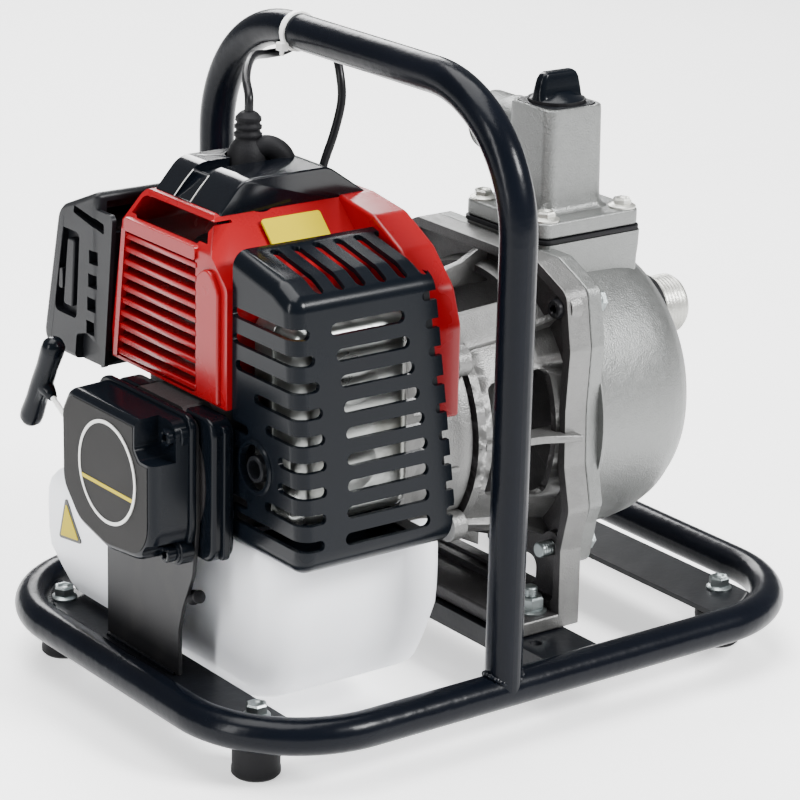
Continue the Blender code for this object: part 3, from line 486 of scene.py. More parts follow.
floor_shader = FLOOR.node_tree.nodes["Principled BSDF"]
floor_shader.inputs["Emission Color"].default_value = (1, 1, 1, 1)
floor_shader.inputs["Emission Strength"].default_value = 0.9


def show(obj, finish, body="carrier", nodes=(), sharp=32):
    """Give a finished piece its material, its body and the node it stands for."""
    modifier = obj.modifiers.new("even", "WEIGHTED_NORMAL")
    modifier.keep_sharp = True
    obj.data.set_sharp_from_angle(angle=math.radians(sharp))
    bake_modifiers(obj, sharp)
    obj.data.materials.clear()
    obj.data.materials.append(finish)
    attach(obj, body)
    if nodes:
        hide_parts(*nodes)
    return obj


def dress(finish, *names):
    """Give carried-over frame nodes a finish."""
    for name in names:
        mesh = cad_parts[name].data
        mesh.materials.clear()
        mesh.materials.append(finish)


# ------------------------------------------------------------------ fasteners

def along(direction, origin, points):
    turn = frame_at(direction)
    return [Vector(origin) + turn @ Vector(point) for point in points]


def hexagon(radius, height):
    return [(radius * math.cos(math.radians(60 * k)), radius * math.sin(math.radians(60 * k)),
        height) for k in range(6)]


def hex_bolt(name, at, direction, flats, flange, height):
    """Flange bolt head with a dished hexagon, standing on a face at a point."""
    corner = flats / math.sqrt(3)
    collar = lathe(name + "_flange", axial((flange, 0), (flange, 0.9), (corner * 0.98, 2.2)), at,
        direction, 32)
    levels = [(1.0, 1.2), (1.0, height - 0.9), (0.86, height), (0.66, height), (0.56, height - 0.8),
        (0.1, height - 1.1)]
    loops = [along(direction, at, hexagon(corner * scale, level)) for scale, level in levels]
    return gather(name, [collar, loft(name + "_hex", loops, angle=20)])


def socket_screw(name, at, direction, radius, height, washer):
    """Cap screw with a hexagon socket, on a thin washer."""
    disc = lathe(name + "_washer", axial((washer, 0), (washer, 0.8), (washer - 0.3, 1.0)), at,
        direction, 28)
    at = Vector(at) + Vector(direction).normalized()
    head = lathe(name + "_head", axial((radius, 0), (radius, height - 0.6), (radius - 0.6, height)),
        at, direction, 28)
    socket = loft(name + "_socket", [along(direction, at, hexagon(radius * 0.56, 1.6)),
        along(direction, at, hexagon(radius * 0.56, height + 1))])
    return gather(name, [disc, cut(head, socket)])


def thread(name, at, direction, radius, length, pitch, depth, bore=0.0, steps=48):
    """A threaded end with rounded ridges."""
    profile = []
    turns = int(length / pitch)
    for index in range(turns):
        start = index * pitch
        profile += [(radius - depth, start), (radius, start + pitch * 0.35),
            (radius, start + pitch * 0.6)]
    profile += [(radius - depth, turns * pitch), (radius - depth - 0.4, length)]
    if bore:
        profile += [(bore, length), (bore, 0)]
    else:
        profile = axial(*profile)
    return lathe(name, profile, at, direction, steps, angle=50)


def weld(name, path, size=1.3, swing=0.4, pace=2.1):
    """Uneven bead along a path."""
    sizes = [size + swing * math.sin(k * pace) for k in range(len(path))]
    show(sweep(name, path, sizes, 8), STRIP_PAINT)


# ------------------------------------------------------------------ carry frame

def make_frame():
    ring_path = rounded([(-182, -RING_SIDE), (182, -RING_SIDE), (182, RING_SIDE),
        (-182, RING_SIDE)], 65, 18)
    show(sweep("ring_tube", lift(ring_path, "XY", RING_Z), TUBE, 40, closed=True), TUBE_PAINT,
        nodes=["base_ring"])
    path = rounded([(-RING_SIDE, 30.5), (-RING_SIDE, HOOP_TOP), (RING_SIDE, HOOP_TOP),
        (RING_SIDE, 30.5)], 69.5, 24, closed=False)
    hoop = sweep("hoop_tube", lift(path, "YZ", HOOP_X), TUBE, 40)
    cut(hoop, *[rod("saddle", (HOOP_X - 20, y, RING_Z), (HOOP_X + 20, y, RING_Z), TUBE - 0.3, 72)
        for y in (-RING_SIDE, RING_SIDE)])
    show(hoop, TUBE_PAINT, nodes=["handle_hoop"])
    for side, label in ((-1, "near"), (1, "far")):
        bead, sizes = [], []
        for step in range(96):
            angle = 2 * math.pi * step / 96
            across = 8.7 * math.sin(angle)
            rise = math.sqrt(10.4 ** 2 - across ** 2)
            bead.append((HOOP_X + 10.0 * math.cos(angle), side * RING_SIDE + across, RING_Z + rise))
            thin = 1 - 0.6 * abs(math.sin(angle)) ** 3
            sizes.append((1.45 + 0.35 * math.sin(angle * 17)) * thin)
        show(sweep(f"weld_post_{label}", bead, sizes, 10, closed=True), TUBE_PAINT)

    for name, low, high, foot_x in (("left_strip", -172.2, -146, -158),
            ("right_strip", 121, 157, 147)):
        columns = [low + (high - low) * step / 10 for step in range(11)]
        edge = [(x, 66.8 + math.sqrt(55.5 ** 2 - min(max(abs(x) - 117, 0), 55.5) ** 2))
            for x in columns]
        outline = [(x, -y) for x, y in edge] + [(x, y) for x, y in reversed(edge)]
        strip = prism(name + "_plate", outline, 28, 31, "XY")
        cut(strip, *[rod("hole", (foot_x, side * 92, 20), (foot_x, side * 92, 40), 3.3)
            for side in (-1, 1)])
        show(soften(strip, 0.7), STRIP_PAINT, nodes=[name])
        for side, label in ((-1, "near"), (1, "far")):
            ends = [(x, side * (y - 0.6), 31.2) for x, y in edge[1:-1]]
            weld(f"weld_{name}_{label}", flow(ends, 5))
            show(hex_bolt(f"bolt_{name}_{label}", (foot_x, side * 92, 31), UP, 10, 7.1, 7), ZINC)

    profile = [(4, 20.5), (4, 31.5), (40, 31.5), (40, 20.5), (37, 20.5), (37, 28.5), (7, 28.5),
        (7, 20.5)]
    channel = prism("channel_plate", profile, -122.2, 122.2, "XZ")
    cut(channel, *[rod("hole", (x, y, 25), (x, y, 40), radius)
        for x, y, radius in ((26, -77, 4.3), (26, 57, 4.3), (14, -98, 3.2))])
    show(soften(channel, 0.9), STRIP_PAINT, nodes=["middle_channel"])
    for side, label in ((-1, "near"), (1, "far")):
        ends = [(x, side * 121.6, 31.4) for x in range(6, 40, 6)]
        weld(f"weld_channel_{label}", flow(ends, 5), pace=1.9)

    for x, first in ((-158, "left"), (147, "right")):
        for y, second in ((-92, "near"), (92, "far")):
            profile = axial((11.2, 0), (12.5, 1.4), (12.5, 4), (12.2, 4.6), (12.2, 15),
                (12.5, 15.6), (12.3, 19.2), (11.5, 19.7), (6, 19.7), (6, 27.7))
            show(lathe(f"foot_rubber_{first}_{second}", profile, (x, y, 0), UP, 48), RUBBER,
                nodes=[f"foot_{first}_{second}"])

    for label, y in (("near", -77), ("far", 57)):
        shapes = [hex_bolt("nut", (26, y, 40.2), UP, 13, 9.2, 8.5),
            thread("stud", (26, y, 46), UP, 4, 8, 1.25, 0.5),
            rod("under", (26, y, 23), (26, y, 28.2), 7.2, 6)]
        show(gather(f"pump_nut_{label}", shapes), ZINC, nodes=[f"pump_bolt_{label}"])


# ------------------------------------------------------------------ engine

LUG_SCREWS = [(-41.5, 104), (-41.5, 165)]
PULL = Vector((0, 0.88, 0.475)).normalized()
PULL_GRIP = Vector((-182.4, 70, 163.5))


def make_starter():
    corners = [(-31, 31.3), (37, 31.3), (37, 172), (-46, 172), (-47.5, 118), (-44, 90), (-35, 70),
        (-31, 56)]
    outline = rounded(corners, [1, 1, 6, 6, 25, 18, 18, 20], 6)
    plate = prism("bracket_plate", outline, -164.5, -162.0)
    cut(plate, crank_rod("hole", -170, -155, 27, 48))
    show(soften(plate, 0.5), PLATE_PAINT, nodes=["engine_bracket"])
    weld("bracket_weld", flow([(-164.9, y, 31.5) for y in range(-28, 38, 8)], 5), 1.2, 0.35, 2.3)

    front = [(-4, 96.5), (24, 103), (40, 120), (40, 160), (32, 173), (-46.5, 173), (-46.5, 113),
        (-36, 100)]
    turns = [20, 18, 16, 12, 10, 7, 22, 18]
    rows = [(-190, 4.4), (-189.4, 2.2), (-188.2, 0.8), (-186.4, 0.1), (-184, 0), (-165.1, -0.8)]
    shell = loft("starter_shell", stack(front, turns, rows, "YZ", 8, least=2), angle=40)
    step = [(-60, 153), (-36, 153), (-31, 158), (-31, 180), (-60, 180)]
    low_step = [(-60, 90), (-36.5, 90), (-36.5, 105), (-41, 110.5), (-60, 110.5)]
    room = [(-4, 100), (22, 106), (36.5, 121), (36.5, 159), (31, 169.5), (-27, 169.5), (-32, 150),
        (-43, 148), (-43, 114), (-33, 104)]
    cut(shell, tile("room", room, 4, 5, -186.6, -160),
        tile("upper_step", step, [0, 4, 4, 0, 0], 4, -200, -176),
        tile("lower_step", low_step, [0, 2, 4, 4, 0], 4, -200, -172.5),
        rod("rope_hole", PULL_GRIP - PULL * 62, PULL_GRIP - PULL * 20, 3.0, 20))
    soften(shell, 1.3, 3, 38, crisp=40)
    show(shell, BLACK_GLOSS, nodes=["starter_housing"], sharp=40)
    rim = tile("starter_rim", inset(front, -2.6), turns, 8, -169, -165.0, edge=1.2)
    cut(rim, tile("room", inset(front, 0.4), turns, 8, -172, -160))
    lugs = [rod("lug", (-173.4, y, z), (-165.0, y, z), 6.6, 36, chamfer=0.8) for y, z in LUG_SCREWS]
    show(gather("starter_flange", [rim] + lugs), BLACK_GLOSS)
    inner = inset(front, 3.9)
    face = tile("starter_face", inner, [size - 3.9 for size in turns], 8, -190.2, -189.2)
    trim = [(-70, 151.5), (-34.5, 151.5), (-29.5, 157), (-29.5, 190), (-70, 190)]
    cut(face, tile("step", trim, [0, 4, 4, 0, 0], 4, -200, -180))
    show(face, CHARCOAL)
    eye = [(2.4, -3), (2.4, 2), (4.2, 2.6), (5.6, 1), (5.6, -3)]
    show(lathe("rope_eye", eye, PULL_GRIP - PULL * 39.5, PULL, 32), BLACK_MATT)
    for index, (y, z) in enumerate(LUG_SCREWS):
        show(socket_screw(f"starter_screw_{index}", (-173.4, y, z), (-1, 0, 0), 4.2, 5, 5.6),
            BLACK_GLOSS)

    show(lathe("label_disc", axial((25.4, -190.2), (25.4, -190.5)), (0, -6, CRANK_Z), RIGHT, 96),
        CHARCOAL)
    rim = [lift(ring((-6, CRANK_Z), radius, 96), "YZ", depth)
        for radius, depth in ((27, -190.25), (27, -190.75), (25.2, -190.75), (25.2, -190.25))]
    show(loft("label_ring", rim, closed=True), LABEL_SILVER)
    show(box("label_line", (-190.7, -30.2, 129.6), (-190.4, 18.2, 131.6)), YELLOW)

    upright = Vector((0, -PULL.z, PULL.y))
    profile = axial((1.5, -29.5), (4.2, -28.6), (5.9, -26), (6.2, -22), (5.7, -12), (5.9, 0),
        (5.7, 12), (6.2, 22), (5.9, 26), (4.2, 28.6), (1.5, 29.5))
    handle = lathe("grip", profile, PULL_GRIP, upright, 40)
    neck = lathe("neck", axial((2.4, -12), (3.4, -9), (4.6, -4), (4.6, 0)), PULL_GRIP, PULL, 28)
    show(join(handle, neck), BLACK_GLOSS, "pull_handle", ["starter_handle"])

    drum = PULL_GRIP - PULL * 82
    reach = PULL_GRIP - PULL * 8 - drum
    rope = sweep("pull_rope", [drum + reach * (k / 40) for k in range(41)],
        [1.45 + 0.12 * math.sin(k * 2.4) for k in range(41)], 12)
    rope.data.materials.append(NYLON)
    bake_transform(rope)
    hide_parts("starter_rope")


def make_case():
    """Black crankcase cover between the starter and the muffler guard."""
    body = tile("case", [(-58, 99), (34, 99), (34, 174), (-58, 174)], 9, 6, -161.5, -148.5,
        edge=2.2, segments=4)
    cut(body, crank_rod("hole", -170, -140, 41.6, 64))
    band = tile("band", [(-60, 101), (-50, 101), (-50, 171), (-60, 171)], 3, 4, -156.5, -152.5,
        edge=0.8)
    show(gather("case_cover", [body, band]), BLACK_GLOSS)
    profile = axial((2.8, 0), (3.8, 1), (3.8, 3), (2.6, 4), (2.6, 6), (3.4, 7), (3.4, 8.4),
        (1.8, 9.4))
    show(lathe("tank_grommet", profile, (-160, -36, 75), (0, -0.5, 0.2), 24), RUBBER)


GUARD = [(-40, 106.5), (-115.5, 106.5), (-102.5, 243), (-88, 250), (-40, 260)]


def guard_loops(shrink, left, right, corner):
    """Rounded-over sections of the guard, from its left face to its open right side."""
    rows = []
    for step in range(7):
        turn = math.pi / 2 * step / 6
        rows.append((left + corner * (1 - math.cos(turn)), shrink + corner * (1 - math.sin(turn))))
    loops = []
    for depth, away in rows + [(right, shrink)]:
        sizes = [max(2.5, size - away) if size else 0 for size in (0, 12, 10, 16, 0)]
        loops.append(lift(rounded(inset(GUARD, away), sizes, 8), "YZ", depth))
    return loops


def guard_edge(shift):
    """Cutters that open the guard's back and slant its right edge."""
    lean = [(-67, 300), (-60.5, 215), (-55, 130), (-60, 95)]
    outline = [(x - shift, z) for x, z in lean] + [(-30, 95), (-30, 300)]
    return [box("back", (-160, -52.3, 90), (-40, 0, 300)), prism("lean", outline, -130, -30, "XZ")]


def make_guard():
    shell = loft("guard_shell", guard_loops(0, -147, -50, 8))
    cut(shell, loft("room", guard_loops(2.6, -144.4, -40, 6)), *guard_edge(0))
    tools = []
    for slot, start in enumerate((-55, -55, -58, -74, -84, -95, -95, -84, -56)):
        z = 227.4 - slot * 13.06
        left = -118.5 - 0.0017 * (z - 165) ** 2
        right = -70 - max(0, z - 168) * 0.19
        tools.append(prism("slot", stadium((left + 3.2, z), (right - 3.2, z), 3.1), -125, -92,
            "XZ"))
        tools.append(prism("wrap", stadium((-170, z), (left - 15, z), 2.7), -130, -94, "XZ"))
        tools.append(prism("wrap_side", stadium((start, z), (-135, z), 2.7), -155, -141))
    for z in (235, 221, 207, 192, 178, 164, 151, 138, 125):
        edge = -55 - max(0, z - 130) * 0.1
        tools.append(prism("notch", stadium((edge - 2.6, z), (edge + 20, z), 2.4), -125, -92, "XZ"))
    for z in (169.5, 131):
        tools.append(prism("side_slot", stadium((-64, z), (-51, z), 2.6), -155, -141))
    for z in (158, 145.5):
        tools.append(box("vent", (-150, -57, z - 2.5), (-141, -53.5, z + 2.5)))
    tools.append(rod("pipe_hole", (-155, *EXHAUST[1:]), (-140, *EXHAUST[1:]), 12, 48))
    for slot in range(6):
        x = -127.5 + slot * 12.4
        tools.append(prism("top_slot", stadium((x, -60), (x, -96), 2.7), 225, 275, "XY"))
    cut(shell, *tools)
    soften(shell, 0.6, 2, 35)
    show(shell, BLACK_GLOSS, nodes=["muffler_guard"], sharp=40)
    lining = loft("guard_lining", guard_loops(2.8, -68, -53, 1))
    cut(lining, loft("room", guard_loops(4.0, -80, -40, 1)), *guard_edge(2))
    show(lining, BLACK_MATT)
    show(lathe("guard_ring", [(11.8, -148.2), (13.4, -148.2), (14.2, -147.4), (14.2, -146),
        (11.8, -146)], EXHAUST, RIGHT, 56), BLACK_GLOSS)

    can = box("can", (-138, -96, 124), (-69, -53, 226), 8, 5)
    seam = tile("seam", [(-139.5, 122.5), (-67.5, 122.5), (-67.5, 227.5), (-139.5, 227.5)], 9, 6,
        -76, -74, "XZ", edge=0.6)
    domes = [lathe("dome", axial((0.5, -97.6), (9, -97), (14, -95.5), (16, -92)), (-103, 0, z), FAR,
        48) for z in (196, 152)]
    show(gather("muffler_can", [can, seam] + domes), SILVER_SHEET, nodes=["muffler"])
    tail = [(5.0, -147.6), (6.4, -147.6), (6.8, -147), (6.8, -130), (5.0, -130)]
    show(lathe("exhaust_tail", tail, (0, -73, 152), RIGHT, 48), BLACK_MATT)


def make_shroud():
    section = [(54, 176.5), (54, 192), (43.5, 252), (41, 267), (-22, 267), (-52, 238), (-52, 176.5)]
    outer = rounded(section, [0, 6, 6, 5, 5, 5, 0], 5)
    shell = prism("shroud", outer, -150, -60)
    cut(shell, prism("wedge", [(-160, 251), (-150.3, 251), (-138, 266.5), (-138, 280), (-160, 280)],
        -70, 70, "XZ"))
    soften(shell, 1.4, 3, 40)
    inner = [(51, 150), (51, 190), (40.5, 250), (38.5, 264), (-20.8, 264), (-49, 236.6), (-49, 150)]
    inner_arcs = rounded(inner, [0, 4, 4, 3, 4, 4, 0], 4)
    cut(shell, prism("room", inner_arcs, -146.8, -30),
        tile("mouth", [(-22, 253.6), (36, 253.6), (33, 264.3), (-27, 264.3)], 1.5, 3, -160, -130),
        tile("panel", [(-24, 178), (49, 178), (39.5, 247.5), (-24, 247.5)], 2.5, 3, -155, -140),
        rod("plug_hole", (CYLINDER_X, CRANK_Y, 255), (CYLINDER_X, CRANK_Y, 275), 14, 40),
        box("exhaust_gap", (-127, -60, 183), (-93, -44, 215)),
        box("intake_gap", (-129, 38, 160), (-72, 70, 226)),
        box("lead_slot", (-56, 10, 255), (-30, 34, 275)))
    collar = [(62, 168), (62, 215), (58, 250), (42, 267), (-25, 267), (-53, 263), (-76, 251),
        (-93, 234), (-100, 215), (-100, 168)]
    rim = tile("collar", collar, [0, 8, 8, 8, 8, 12, 12, 12, 10, 0], 5, -64, -43)
    soften(rim, 1.8, 3, 40)
    hollow = inset(collar, 3.0)
    hollow[0] = (hollow[0][0], 150)
    hollow[-1] = (hollow[-1][0], 150)
    cut(rim, tile("hollow", hollow, 6, 3, -60.5, -30), prism("room", inner_arcs, -80, -30),
        prism("waist", [(-99, 150), (-99, 206), (-91, 212), (-60, 212), (-60, 150)], -70, -55))
    show(gather("shroud_shell", [shell, rim]), RED, nodes=["engine_shroud"], sharp=40)
    rib = rounded([(-47, 178), (-28, 178), (-28, 240), (-38, 247), (-47, 236)], [1, 1, 6, 6, 6], 5)
    ribs = [prism("pilaster", rib, -152.6, -149.4, edge=2.4, segments=4),
        tile("bar", [(-25, 246.5), (41, 246.5), (40, 253.6), (-25, 253.6)], 1.5, 3, -151.4, -148,
        edge=0.9)]
    ribs.append(loft("lip", [[(-151.2, y, 178), (-148, y, 178), (-148, top, 247.5),
        (-151.2, top, 247.5)] for y, top in ((48, 39), (51.6, 42.6))]))
    for slat in range(10):
        z = 180.6 + slat * 7.0
        reach = 49 - (z - 178) * 0.137
        blade = [(-150.6, z - 1.2), (-150.6, z + 1.7), (-144.5, z + 2.6), (-144.5, z + 0.4)]
        ribs.append(prism("slat", blade, -25, reach, "XZ", edge=0.5, segments=2))
    show(gather("louvre_slats", ribs), RED)
    # A black sheet and dark fins behind the louvre: painted shade so the gaps between the slats
    # read dark.
    shade_backing = [box("sheet", (-143.4, -26, 178), (-142.2, 38, 250), 0.3)]
    for fin in range(7):
        shade_backing.append(box("fin", (-142, -24, 186 + fin * 9.5), (-138, 36, 188 + fin * 9.5), 0.5))
    show(gather("louvre_shade_backing", shade_backing), BLACK_MATT)

    normal = Vector((0, -1, 1)).normalized()
    up = normal.cross(Vector(RIGHT))
    centre = Vector((-98, -38.2, 253.6)) + up * 4.4
    outline = rounded([(-17.5, -8.4), (17.5, -8.4), (17.5, 8.4), (-17.5, 8.4)], 1.6, 5)
    loops = [[centre + Vector(RIGHT) * x + up * y + normal * height for x, y in outline]
        for height in (-0.3, 0.9)]
    show(loft("notice_panel", loops), YELLOW)


def make_cover():
    crown = [(-134, 261), (-135.5, 267), (-121.5, 282.6), (-70, 282.6), (-44.5, 265), (-44, 258)]
    dome = tile("cover_dome", crown, [1, 3, 13, 13, 4, 1], 8, -23, 36, "XZ")
    soften(dome, 2.6, 4, 38, crisp=40)
    slope = rounded([(-150, 267.0), (-134.4, 267.0), (-121.0, 277.6), (-76, 278.2), (-76, 305),
        (-150, 305)], [0, 1, 8, 1, 0, 0], 6)
    cut(dome, prism("groove", slope, 3.5, 18, "XZ"),
        box("plug_room", (-124, -19.5, 250), (-92, -1, 277)),
        box("elbow_room", (-112, -4, 250), (-84, 8, 277)),
        rod("boot_well", (-91, 19, 250), (-91, 19, 300), 11.4, 56),
        box("lead_gap", (-56, 14, 260), (-30, 32, 300)))
    soften(dome, 0.7, 2, 38, crisp=40)
    show(dome, BLACK_COVER, nodes=["top_cover"], sharp=40)
    # Thin silver lines along the groove's edges: painted highlights on the glossy black cover's
    # edges.
    highlight_lines = [box("highlight_line", (-136.0, 3.2, 266.4), (-135.2, 18.3, 267.0))]
    for y in (3.4, 18):
        route = flow([(-135.4, y, 267.4), (-129.6, y, 274), (-124, y, 279.4)], 6)
        highlight_lines.append(sweep("highlight_line", route, 0.3, 10))
    show(gather("groove_edge_highlights", highlight_lines), LABEL_SILVER)


def make_spark():
    tilt = Vector((0.04, 0.03, 1)).normalized()
    seat = Vector((-91, 19, 274))
    profile = axial((10.2, 0), (10.6, 4), (10.4, 9), (8.8, 13.5), (6.6, 16), (6.6, 17.4), (7.2, 18),
        (7.2, 19.6), (6.2, 20.4), (6.2, 21.4), (7.0, 22), (7.0, 23.6), (6.0, 24.4), (6.0, 25.2),
        (6.8, 26), (6.6, 27.8), (4.8, 29.8), (3.2, 30.8))
    hood = lathe("boot_hood", profile, seat, tilt, 56)
    elbow = sweep("elbow", flow([(CYLINDER_X, CRANK_Y, 268), (CYLINDER_X, -9, 273.5),
        (-103, 0, 274.5), (-92, 13, 276)], 6), 3.4, 24)
    ear = sweep("ear", flow([(-91, 19, 282), (-84, 13, 287), (-78, 8, 284), (-75, 5, 276)], 6),
        [6.2 - 0.05 * k for k in range(19)], 20)
    show(gather("boot_rubber", [hood, elbow, ear]), RUBBER, nodes=["plug_boot"])
    plug_axis = (CYLINDER_X, CRANK_Y, 0)
    profile = axial((6, 257), (6, 262), (5.4, 263), (5.4, 265), (4.8, 266), (4.8, 270))
    plug = lathe("plug_ceramic", profile, plug_axis, UP, 32)
    show(plug, CERAMIC)
    metal = [rod("hex", (CYLINDER_X, CRANK_Y, 247.2), (CYLINDER_X, CRANK_Y, 257), 11, 6,
        chamfer=0.8), lathe("shell", axial((8.2, 245.9), (9.4, 246.4), (9.4, 247.4)), plug_axis, UP,
        32)]
    show(gather("plug_shell", metal), ZINC, nodes=["spark_plug"])
    route = [(-42, 23, 246.5), (-42, 24, 256), (-38, 27, 268), (-30, 29, 284), (-25, 30, 300),
        (-24, 33, 313), (-21.6, 42, 325), (-21.6, 50, 331), (-21.6, 58, 331.5), (-22.5, 66, 327),
        (-30, 73, 319.5), (-42, 73, 318.5), (-56, 64, 321), (-70, 49, 322), (-82, 34, 318),
        tuple(seat + tilt * 38), tuple(seat + tilt * 28)]
    show(sweep("plug_lead", flow(route, 8), 2.35, 16), LEAD_SKIN, nodes=["ignition_lead"])

    def loop(clearance, y):
        points = []
        for centre, radius, first, last in (((HOOP_X, HOOP_TOP), TUBE, 52.7, 292),
                (LEAD_AT_TIE, 2.6, 292, 412.7)):
            for step in range(16):
                angle = math.radians(first + (last - first) * step / 15)
                points.append((centre[0] + (radius + clearance) * math.cos(angle), y, centre[1]
                    + (radius + clearance) * math.sin(angle)))
        return points

    band = loft("band", [loop(0.15, 54.3), loop(1.2, 54.3), loop(1.2, 57.7), loop(0.15, 57.7)],
        closed=True)
    head = box("head", (-47.2, 53.2, 323.6), (-42.4, 58.8, 328.2), 0.8)
    tail = box("tail", (-45.6, 54.6, 321.0), (-44.4, 57.4, 324), 0.4)
    show(gather("tie_strap", [band, head, tail]), NYLON, nodes=["cable_tie"])


def make_filter():
    side = [(62.4, 167), (119.5, 166), (101, 246), (62.4, 262)]
    rows = [(-154, 3.2), (-153.4, 1.4), (-152, 0.3), (-150, 0), (-100, 0.4), (-95, 1.6),
        (-92.5, 4.4)]
    shell = loft("filter_shell", stack(side, (3, 9, 13, 3), rows, "YZ", 8, least=1.5), angle=40)
    cut(shell, tile("hollow", inset(side, 4.5), 5, 4, -147.5, -97),
        box("open_side", (-147.5, 50, 176), (-95, 68, 256)))
    wing = tile("wing", [(56.6, 169), (74, 168), (70, 252), (47.5, 252)], [3, 0, 0, 3], 4, -153.4,
        -150.8)
    join(shell, wing)
    tools = [tile("recess", [(83, 189), (105, 189), (97, 236), (79, 236)], 3, 4, -160, -149.2)]
    for index in range(4):
        z = 226 - index * 12.8
        y = 66 + index * 1.1
        tools.append(box("vent", (-160, y - 3.8, z - 3.6), (-146, y + 3.8, z + 3.6)))
    tools.append(tile("slot", [(56, 240.5), (85, 246), (84, 250), (56, 246)], 1, 3, -160, -146))
    tools.append(tile("notch", [(60, 160), (86, 160), (83, 181), (73, 184), (60, 179)], 3, 4, -160,
        -149))
    cut(shell, *tools)
    soften(shell, 0.7, 2, 38, crisp=40)
    show(shell, BLACK_MATT, nodes=["air_filter_cover"], sharp=40)
    clip = [tile("clip", [(88, 194), (97, 194), (92, 231), (85, 231)], 2, 4, -153.6, -148.5,
        edge=1.0), tile("spring", [(97, 202), (101, 202), (100, 212), (97, 214)], 1, 3, -153.8,
        -149, edge=0.6), tile("step", [(109, 172), (113.5, 172), (97, 242), (94, 242)], 1, 3,
        -154.1, -153.2, edge=0.3), box("filter_core", (-149.5, 60, 172), (-148.2, 103, 240))]
    show(gather("filter_clip", clip), BLACK_MATT)


def make_tank():
    """Moulded tank whose ends lean in towards the bottom, with a shoulder on its far side."""
    loops = []
    for z, shrink in ((24, 15), (24.6, 11.5), (26.4, 9), (29, 7.4), (31.6, 6.6), (35, 5.6),
            (40, 4.2), (46, 3), (52, 2), (58, 1), (68, 0.2), (80, 0), (90, 0.2), (95, 1.4),
            (99, 4.0), (101.8, 7.6), (103, 12)):
        lean = max(0, 58 - z) / 34
        far_left = -144.6 - shrink if z < 32 else -160 + lean * 4
        right = -31 - lean * 4 + shrink * 0.6
        base = [(far_left, 16), (max(far_left, -142 - lean - shrink * 0.8), 16),
            (-138 - lean * 4 - shrink * 0.8, -82 + lean * 3), (right, -82 + lean * 3), (right, 109),
            (far_left, 110 - lean * 14)]
        sizes = [max(3, size - shrink * 0.3) for size in (8, 6, 20, 18, 16, 8)]
        loops.append(lift(rounded(inset(base, shrink), sizes, 7), "XY", z))
    body = loft("tank", loops, angle=60)
    cut(body, crank_rod("case_saddle", -175, -30, 43, 72),
        crank_rod("fan_saddle", -62, -30, 68, 72))
    soften(body, 2.0, 4, 35, crisp=60)
    join(body, rod("neck", (*FILLER, 96), (*FILLER, 110), 17, 48))
    cut(body, rod("bore", (*FILLER, 80), (*FILLER, 112), 13, 48))
    show(body, TANK_SKIN, nodes=["fuel_tank"], sharp=50)

    profile = axial((20.5, 104), (20.9, 104.6), (20.9, 117), (19.8, 119.6), (17.5, 120.8),
        (12, 121), (11, 120.4))
    cap = lathe("cap", profile, (*FILLER, 0), UP, 72)
    tools = [rod("under", (*FILLER, 100), (*FILLER, 112.3), 17.5, 48)]
    for x, y in ring(FILLER, 21.6, 24):
        tools.append(rod("grip", (x, y, 103), (x, y, 117.5), 1.3, 10))
    cut(cap, *tools)
    bar = box("bar", (-119, 77, 119.8), (-91, 83, 121), 0.6)
    show(gather("tank_cap", [soften(cap, 0.4, 2), bar]), BLACK_MATT, "fuel_cap_turn",
        ["fuel_cap"])

    border = [(92.6, 66.2), (69.5, 69.2), (85.3, 91.2)]
    show(tile("notice_border", border, 1.2, 4, -160.5, -159.3), LABEL_BLACK)
    show(tile("notice_field", inset(border, 1.6), 0.6, 3, -160.8, -160.3), YELLOW)
    route = [(-75, 96, 102.5), (-75, 96, 118), (-78, 88, 140), (-82, 70, 168), (-83, 52, 184),
        (-86, 47, 189), (-91, 47, 190), (-95.5, 47, 190)]
    band = [(2.7, 0), (3.4, 0), (3.4, 3), (2.7, 3)]
    clips = [lathe("clip", band, (-75, 96, 108), UP, 24),
        lathe("clip", band, (-93, 47, 190), RIGHT, 24)]
    show(gather("hose_clips", clips), ZINC)
    show(sweep("hose_tube", flow(route, 8), 2.6, 16), LEAD_SKIN, nodes=["fuel_hose"])


# ------------------------------------------------------------------ pump

BRACKET = [(-90, 31.9), (70, 31.9), (70, 40), (69.5, 75.5), (75, 99), (70, 122), (69, 152),
    (71, 185), (66, 215), (41.5, 226.5), (-61.5, 226.5), (-86, 215), (-91, 185), (-89, 152),
    (-90, 122), (-95, 99), (-89.5, 75.5), (-90, 40)]
PUMP_SCREWS = [(-80, 206), (-79, 74), (60, 206), (59, 74)]


def paint_shade_on_inner_faces(obj, finish):
    """Give the faces that look back towards the engine, or in towards the crank's axis, a second,
    darker material: painted shade where little light falls.
    """
    obj.data.materials.append(finish)
    for polygon in obj.data.polygons:
        inward = Vector((0, CRANK_Y - polygon.center.y / MM, CRANK_Z - polygon.center.z / MM))
        if polygon.normal.x < -0.8 or polygon.normal.dot(inward.normalized()) > 0.5:
            polygon.material_index = 1


def spoke(name, degrees, shape, half):
    """Plate that stands out from the crank's axis; its shape is a list of (x, radius)."""
    angle = math.radians(degrees)
    away = Vector((0, math.cos(angle), math.sin(angle)))
    side = Vector(RIGHT).cross(away).normalized() * half
    return loft(name, [[Vector(CRANK) + Vector((x, 0, 0)) + away * radius + side * sign
        for x, radius in shape] for sign in (-1, 1)])


